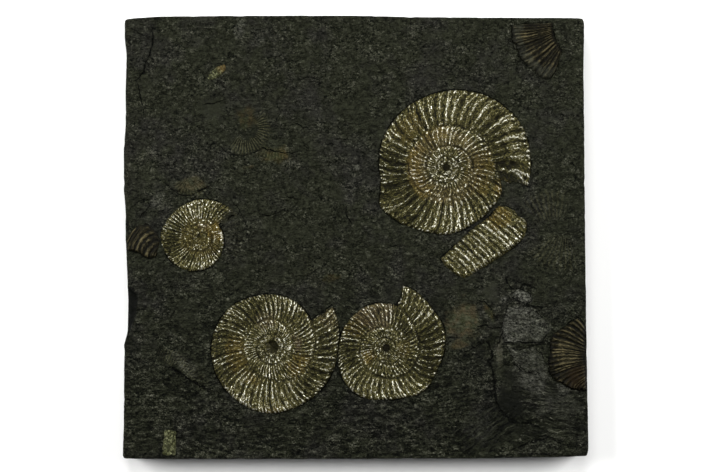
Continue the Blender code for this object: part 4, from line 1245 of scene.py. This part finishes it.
def makePyrite():
    material, tree, shader, coordinates = newMaterial("pyrite")
    look = pyriteLook
    drawn = vectors(tree, "MULTIPLY", coordinates["UV"], (1, look["longer"], 1))
    crystals = useGroup(tree, crystalGroup, {
        "Vector": drawn, "Scale": 1 / look["crystal"], "Tilt": look["tilt"]})
    fine = noise(tree, drawn, 0.3 * mm, 2.0, 0.7)
    # shine is largely painted highlight: crests, streaks, beads, sparkle and crystal faces are painted
    # lighter
    sparkle = times(tree, less(tree, fine), stretch(tree, readMark(tree, "crest"), 0.0, 0.6, (1.7, 3.2)))
    shine = addUp(tree, *markWeights(tree, look["marks"]), (crystals["Mask"], 0.46), (sparkle, 1.0))
    colour = ramp(tree, shine, look["grooveShade"], (0.12, 0.5, look["olive"]), (0.5, 0.8, look["gold"]))
    # each tint runs from the dark groove shade up to its colour as the painted highlight rises, lit and
    # shaded copies of it
    for tint, amount in look["tints"].items():
        shaded = ramp(tree, shine, look["grooveShade"], (0.0, 0.85, look[tint]))
        colour = blend(tree, times(tree, readMark(tree, tint), amount), colour, shaded)
    # the highest shine becomes near-white painted glints
    colour = ramp(tree, shine, colour, (0.82, 1.06, look["paintedGlint"]))
    dustedAndShaded = useGroup(tree, dustAndShadeGroup, {
        "Vector": coordinates["Object"], "Color": colour, "DustAndShade": look["dustAndShade"],
        "Hollow": readMark(tree, "hollow"), "Amount": 1.2, "Lump": 1 / (1.0 * mm)})
    cutShade, bare = readMark(tree, "cutShade"), readMark(tree, "bare")
    # grooves, seams and the pit get a painted shade, near black
    colour = blend(tree, times(tree, cutShade, 0.9), dustedAndShaded["Color"], look["grooveShade"])
    colour = blend(tree, bare, colour, ramp(tree, shine, look["rock"], (0.2, 0.9, look["bare"])))
    clean = addUp(tree, (shine, 1.0), (dustedAndShaded["Mask"], -1.0), (cutShade, -1.0), (bare, -2.0))
    feed(tree, shader, {
        "Base Color": colour, "Specular IOR Level": look["specular"],
        "Metallic": stretch(tree, clean, 0.3, 1.1, (0.1, 0.8)),
        "Roughness": stretch(tree, clean, 0.2, 1.1, (0.55, 0.34)),
        "Normal": bumped(tree, addUp(tree, (crystals["Height"], 1.0), (fine, 0.15 * mm)))})
    return material


crustLook = {
    "low": screen(24, 25, 13), "middle": screen(60, 62, 36), "high": screen(128, 130, 98),
    "tan": screen(104, 80, 38), "dustAndShade": screen(24, 24, 15), "crystal": 0.6 * mm, "specular": 0.1,
    "tanEnd": (-56.5 * mm, 73.5 * mm, bed), "tanReach": (3 * mm, 2.5 * mm, 10 * mm),
}


def makeCrust():
    material, tree, shader, coordinates = newMaterial("pyriteCrust")
    where, look = coordinates["Object"], crustLook
    crystals = useGroup(tree, crystalGroup, {"Vector": where, "Scale": 1 / look["crystal"], "Tilt": 1.0})
    shine = addUp(tree, (crystals["Mask"], 0.4), (noise(tree, where, 0.9 * mm, 3.0, 0.75), 0.8))
    colour = ramp(tree, shine, look["low"], (0.35, 0.65, look["middle"]), (0.65, 0.95, look["high"]))
    end = useGroup(tree, stainGroup, {
        "Vector": where, "Centre": look["tanEnd"], "Reach": look["tanReach"], "Soft": 0.5})
    colour = blend(tree, times(tree, end["Mask"], 0.5), colour, look["tan"])
    dustedAndShaded = useGroup(tree, dustAndShadeGroup, {
        "Vector": where, "Color": colour, "DustAndShade": look["dustAndShade"], "Hollow": readMark(tree, "hollow"),
        "Amount": 0.9, "Lump": 1 / (1.2 * mm)})
    feed(tree, shader, {
        "Base Color": dustedAndShaded["Color"], "Specular IOR Level": look["specular"],
        "Metallic": stretch(tree, shine, 0.3, 1.0, (0.05, 0.4)),
        "Roughness": stretch(tree, shine, 0.3, 1.0, (0.6, 0.4)), "Normal": bumped(tree, crystals["Height"])})
    return material


brownLook = {
    "grooveShade": screen(4, 4, 2), "flank": screen(28, 26, 16), "crest": screen(88, 81, 57),
    "rust": screen(34, 25, 12), "rock": screen(18, 19, 13), "bare": screen(52, 53, 43),
    "crystal": 0.6 * mm, "longer": 0.35, "specular": 0.05,
    "marks": {"crest": 0.85, "streak": 0.2, "bright": 0.3},
    "rustPlace": (95 * mm, -60 * mm, bed), "rustReach": (4 * mm, 5 * mm, 10 * mm),
}


def makeBrownShell():
    material, tree, shader, coordinates = newMaterial("brownShell")
    look = brownLook
    drawn = vectors(tree, "MULTIPLY", coordinates["UV"], (1, look["longer"], 1))
    crystals = useGroup(tree, crystalGroup, {"Vector": drawn, "Scale": 1 / look["crystal"], "Tilt": 0.6})
    fine = noise(tree, drawn, 0.4 * mm, 3.0, 0.7)
    # crests and the highlit zone are painted lighter, a painted highlight
    shine = addUp(tree, *markWeights(tree, look["marks"]), (crystals["Mask"], 0.25), (less(tree, fine), 2.0))
    colour = ramp(tree, shine, look["grooveShade"], (0.2, 0.65, look["flank"]), (0.65, 1.2, look["crest"]))
    rust = useGroup(tree, stainGroup, {
        "Vector": coordinates["Object"], "Centre": look["rustPlace"], "Reach": look["rustReach"], "Soft": 0.5,
        "Lump": 300})
    colour = blend(tree, times(tree, rust["Mask"], 0.5), colour, look["rust"])
    # the cuts between ribs get a painted shade, near black
    colour = blend(tree, times(tree, readMark(tree, "cutShade"), 0.9), colour, look["grooveShade"])
    bare = readMark(tree, "bare")
    colour = blend(tree, bare, colour, ramp(tree, shine, look["rock"], (0.2, 1.0, look["bare"])))
    feed(tree, shader, {
        "Base Color": colour, "Specular IOR Level": look["specular"],
        "Metallic": stretch(tree, addUp(tree, (shine, 1.0), (bare, -1.0)), 0.3, 1.0, (0.0, 0.3)),
        "Roughness": stretch(tree, fine, 0.3, 0.7, (0.42, 0.6)),
        "Normal": bumped(tree, addUp(tree, (crystals["Height"], 0.7), (fine, 0.2 * mm)), 0.9)})
    return material


# Putting it together

addSlab(makeShale())
ribbed = {"pyrite": makePyrite(), "brown_shell": makeBrownShell()}
for name, shell in shells.items():
    addCoiledShell(name, shell, ribbed["pyrite"])
for name, fragment in fragments.items():
    addRibbedPiece(name, fragment, ribbed[fragment["slot"]])
crust = makeCrust()
addTab(crust)
addSliver(crust)


# The table, the lights and the camera

studio = {
    "floorSize": 6.0, "floorDrop": 0.1 * mm, "floorColour": (0.9, 0.9, 0.89, 1), "floorRoughness": 0.9,
    "lens": 100, "sensor": 36, "cameraOver": (-0.7 * mm, 0.6 * mm), "frameWidth": 304.44 * mm,
    "lightSize": 0.6,
    "lights": [   # direction round from +Y (clockwise), height in degrees, distance, watts
        (-74, 38, 1.3, 18.5), (72, 38, 1.3, 16.5), (-5, 48, 1.5, 12),
    ],
    "worldGlow": 0.07, "worldSeen": 0.9,
}


def addFloor():
    clearSelection()
    bpy.ops.mesh.primitive_plane_add(size=studio["floorSize"], location=(0, 0, -studio["floorDrop"]))
    floor = bpy.context.object
    floor.name = "table_top"
    material, tree, shader, _ = newMaterial("paleTable")
    feed(tree, shader, {"Base Color": studio["floorColour"], "Roughness": studio["floorRoughness"]})
    floor.data.materials.append(material)


def addLights():
    for k, (turn, tilt, distance, watts) in enumerate(studio["lights"]):
        turn, tilt = math.radians(turn), math.radians(tilt)
        out = distance * math.cos(tilt)
        place = (out * math.sin(turn), out * math.cos(turn), distance * math.sin(tilt))
        bpy.ops.object.light_add(type="AREA", location=place)
        light = bpy.context.object
        light.name = f"softLight{k}"
        light.data.size = studio["lightSize"]
        light.data.energy = watts
        light.rotation_euler = (math.pi / 2 - tilt, 0, math.pi - turn)


def addWorld():   # pale where the camera sees it, and dimmer as light on the piece
    world = bpy.data.worlds.new("studioWorld")
    bpy.context.scene.world = world
    world.use_nodes = True
    tree = world.node_tree
    seen = put(tree, "LightPath", {})["Is Camera Ray"]
    glow = stretch(tree, seen, 0.0, 1.0, (studio["worldGlow"], studio["worldSeen"]))
    feed(tree, tree.nodes["Background"].inputs, {0: (1, 1, 1, 1), 1: glow})


def addCamera():
    x, y = studio["cameraOver"]
    above = studio["frameWidth"] * studio["lens"] / studio["sensor"]
    bpy.ops.object.camera_add(location=(x, y, bed + above), rotation=(0, 0, 0))
    camera = bpy.context.object
    camera.data.lens = studio["lens"]
    camera.data.sensor_width = studio["sensor"]
    bpy.context.scene.camera = camera
    bpy.context.scene.view_settings.view_transform = "Standard"


addFloor()
addLights()
addWorld()
addCamera()
print("studio ready")
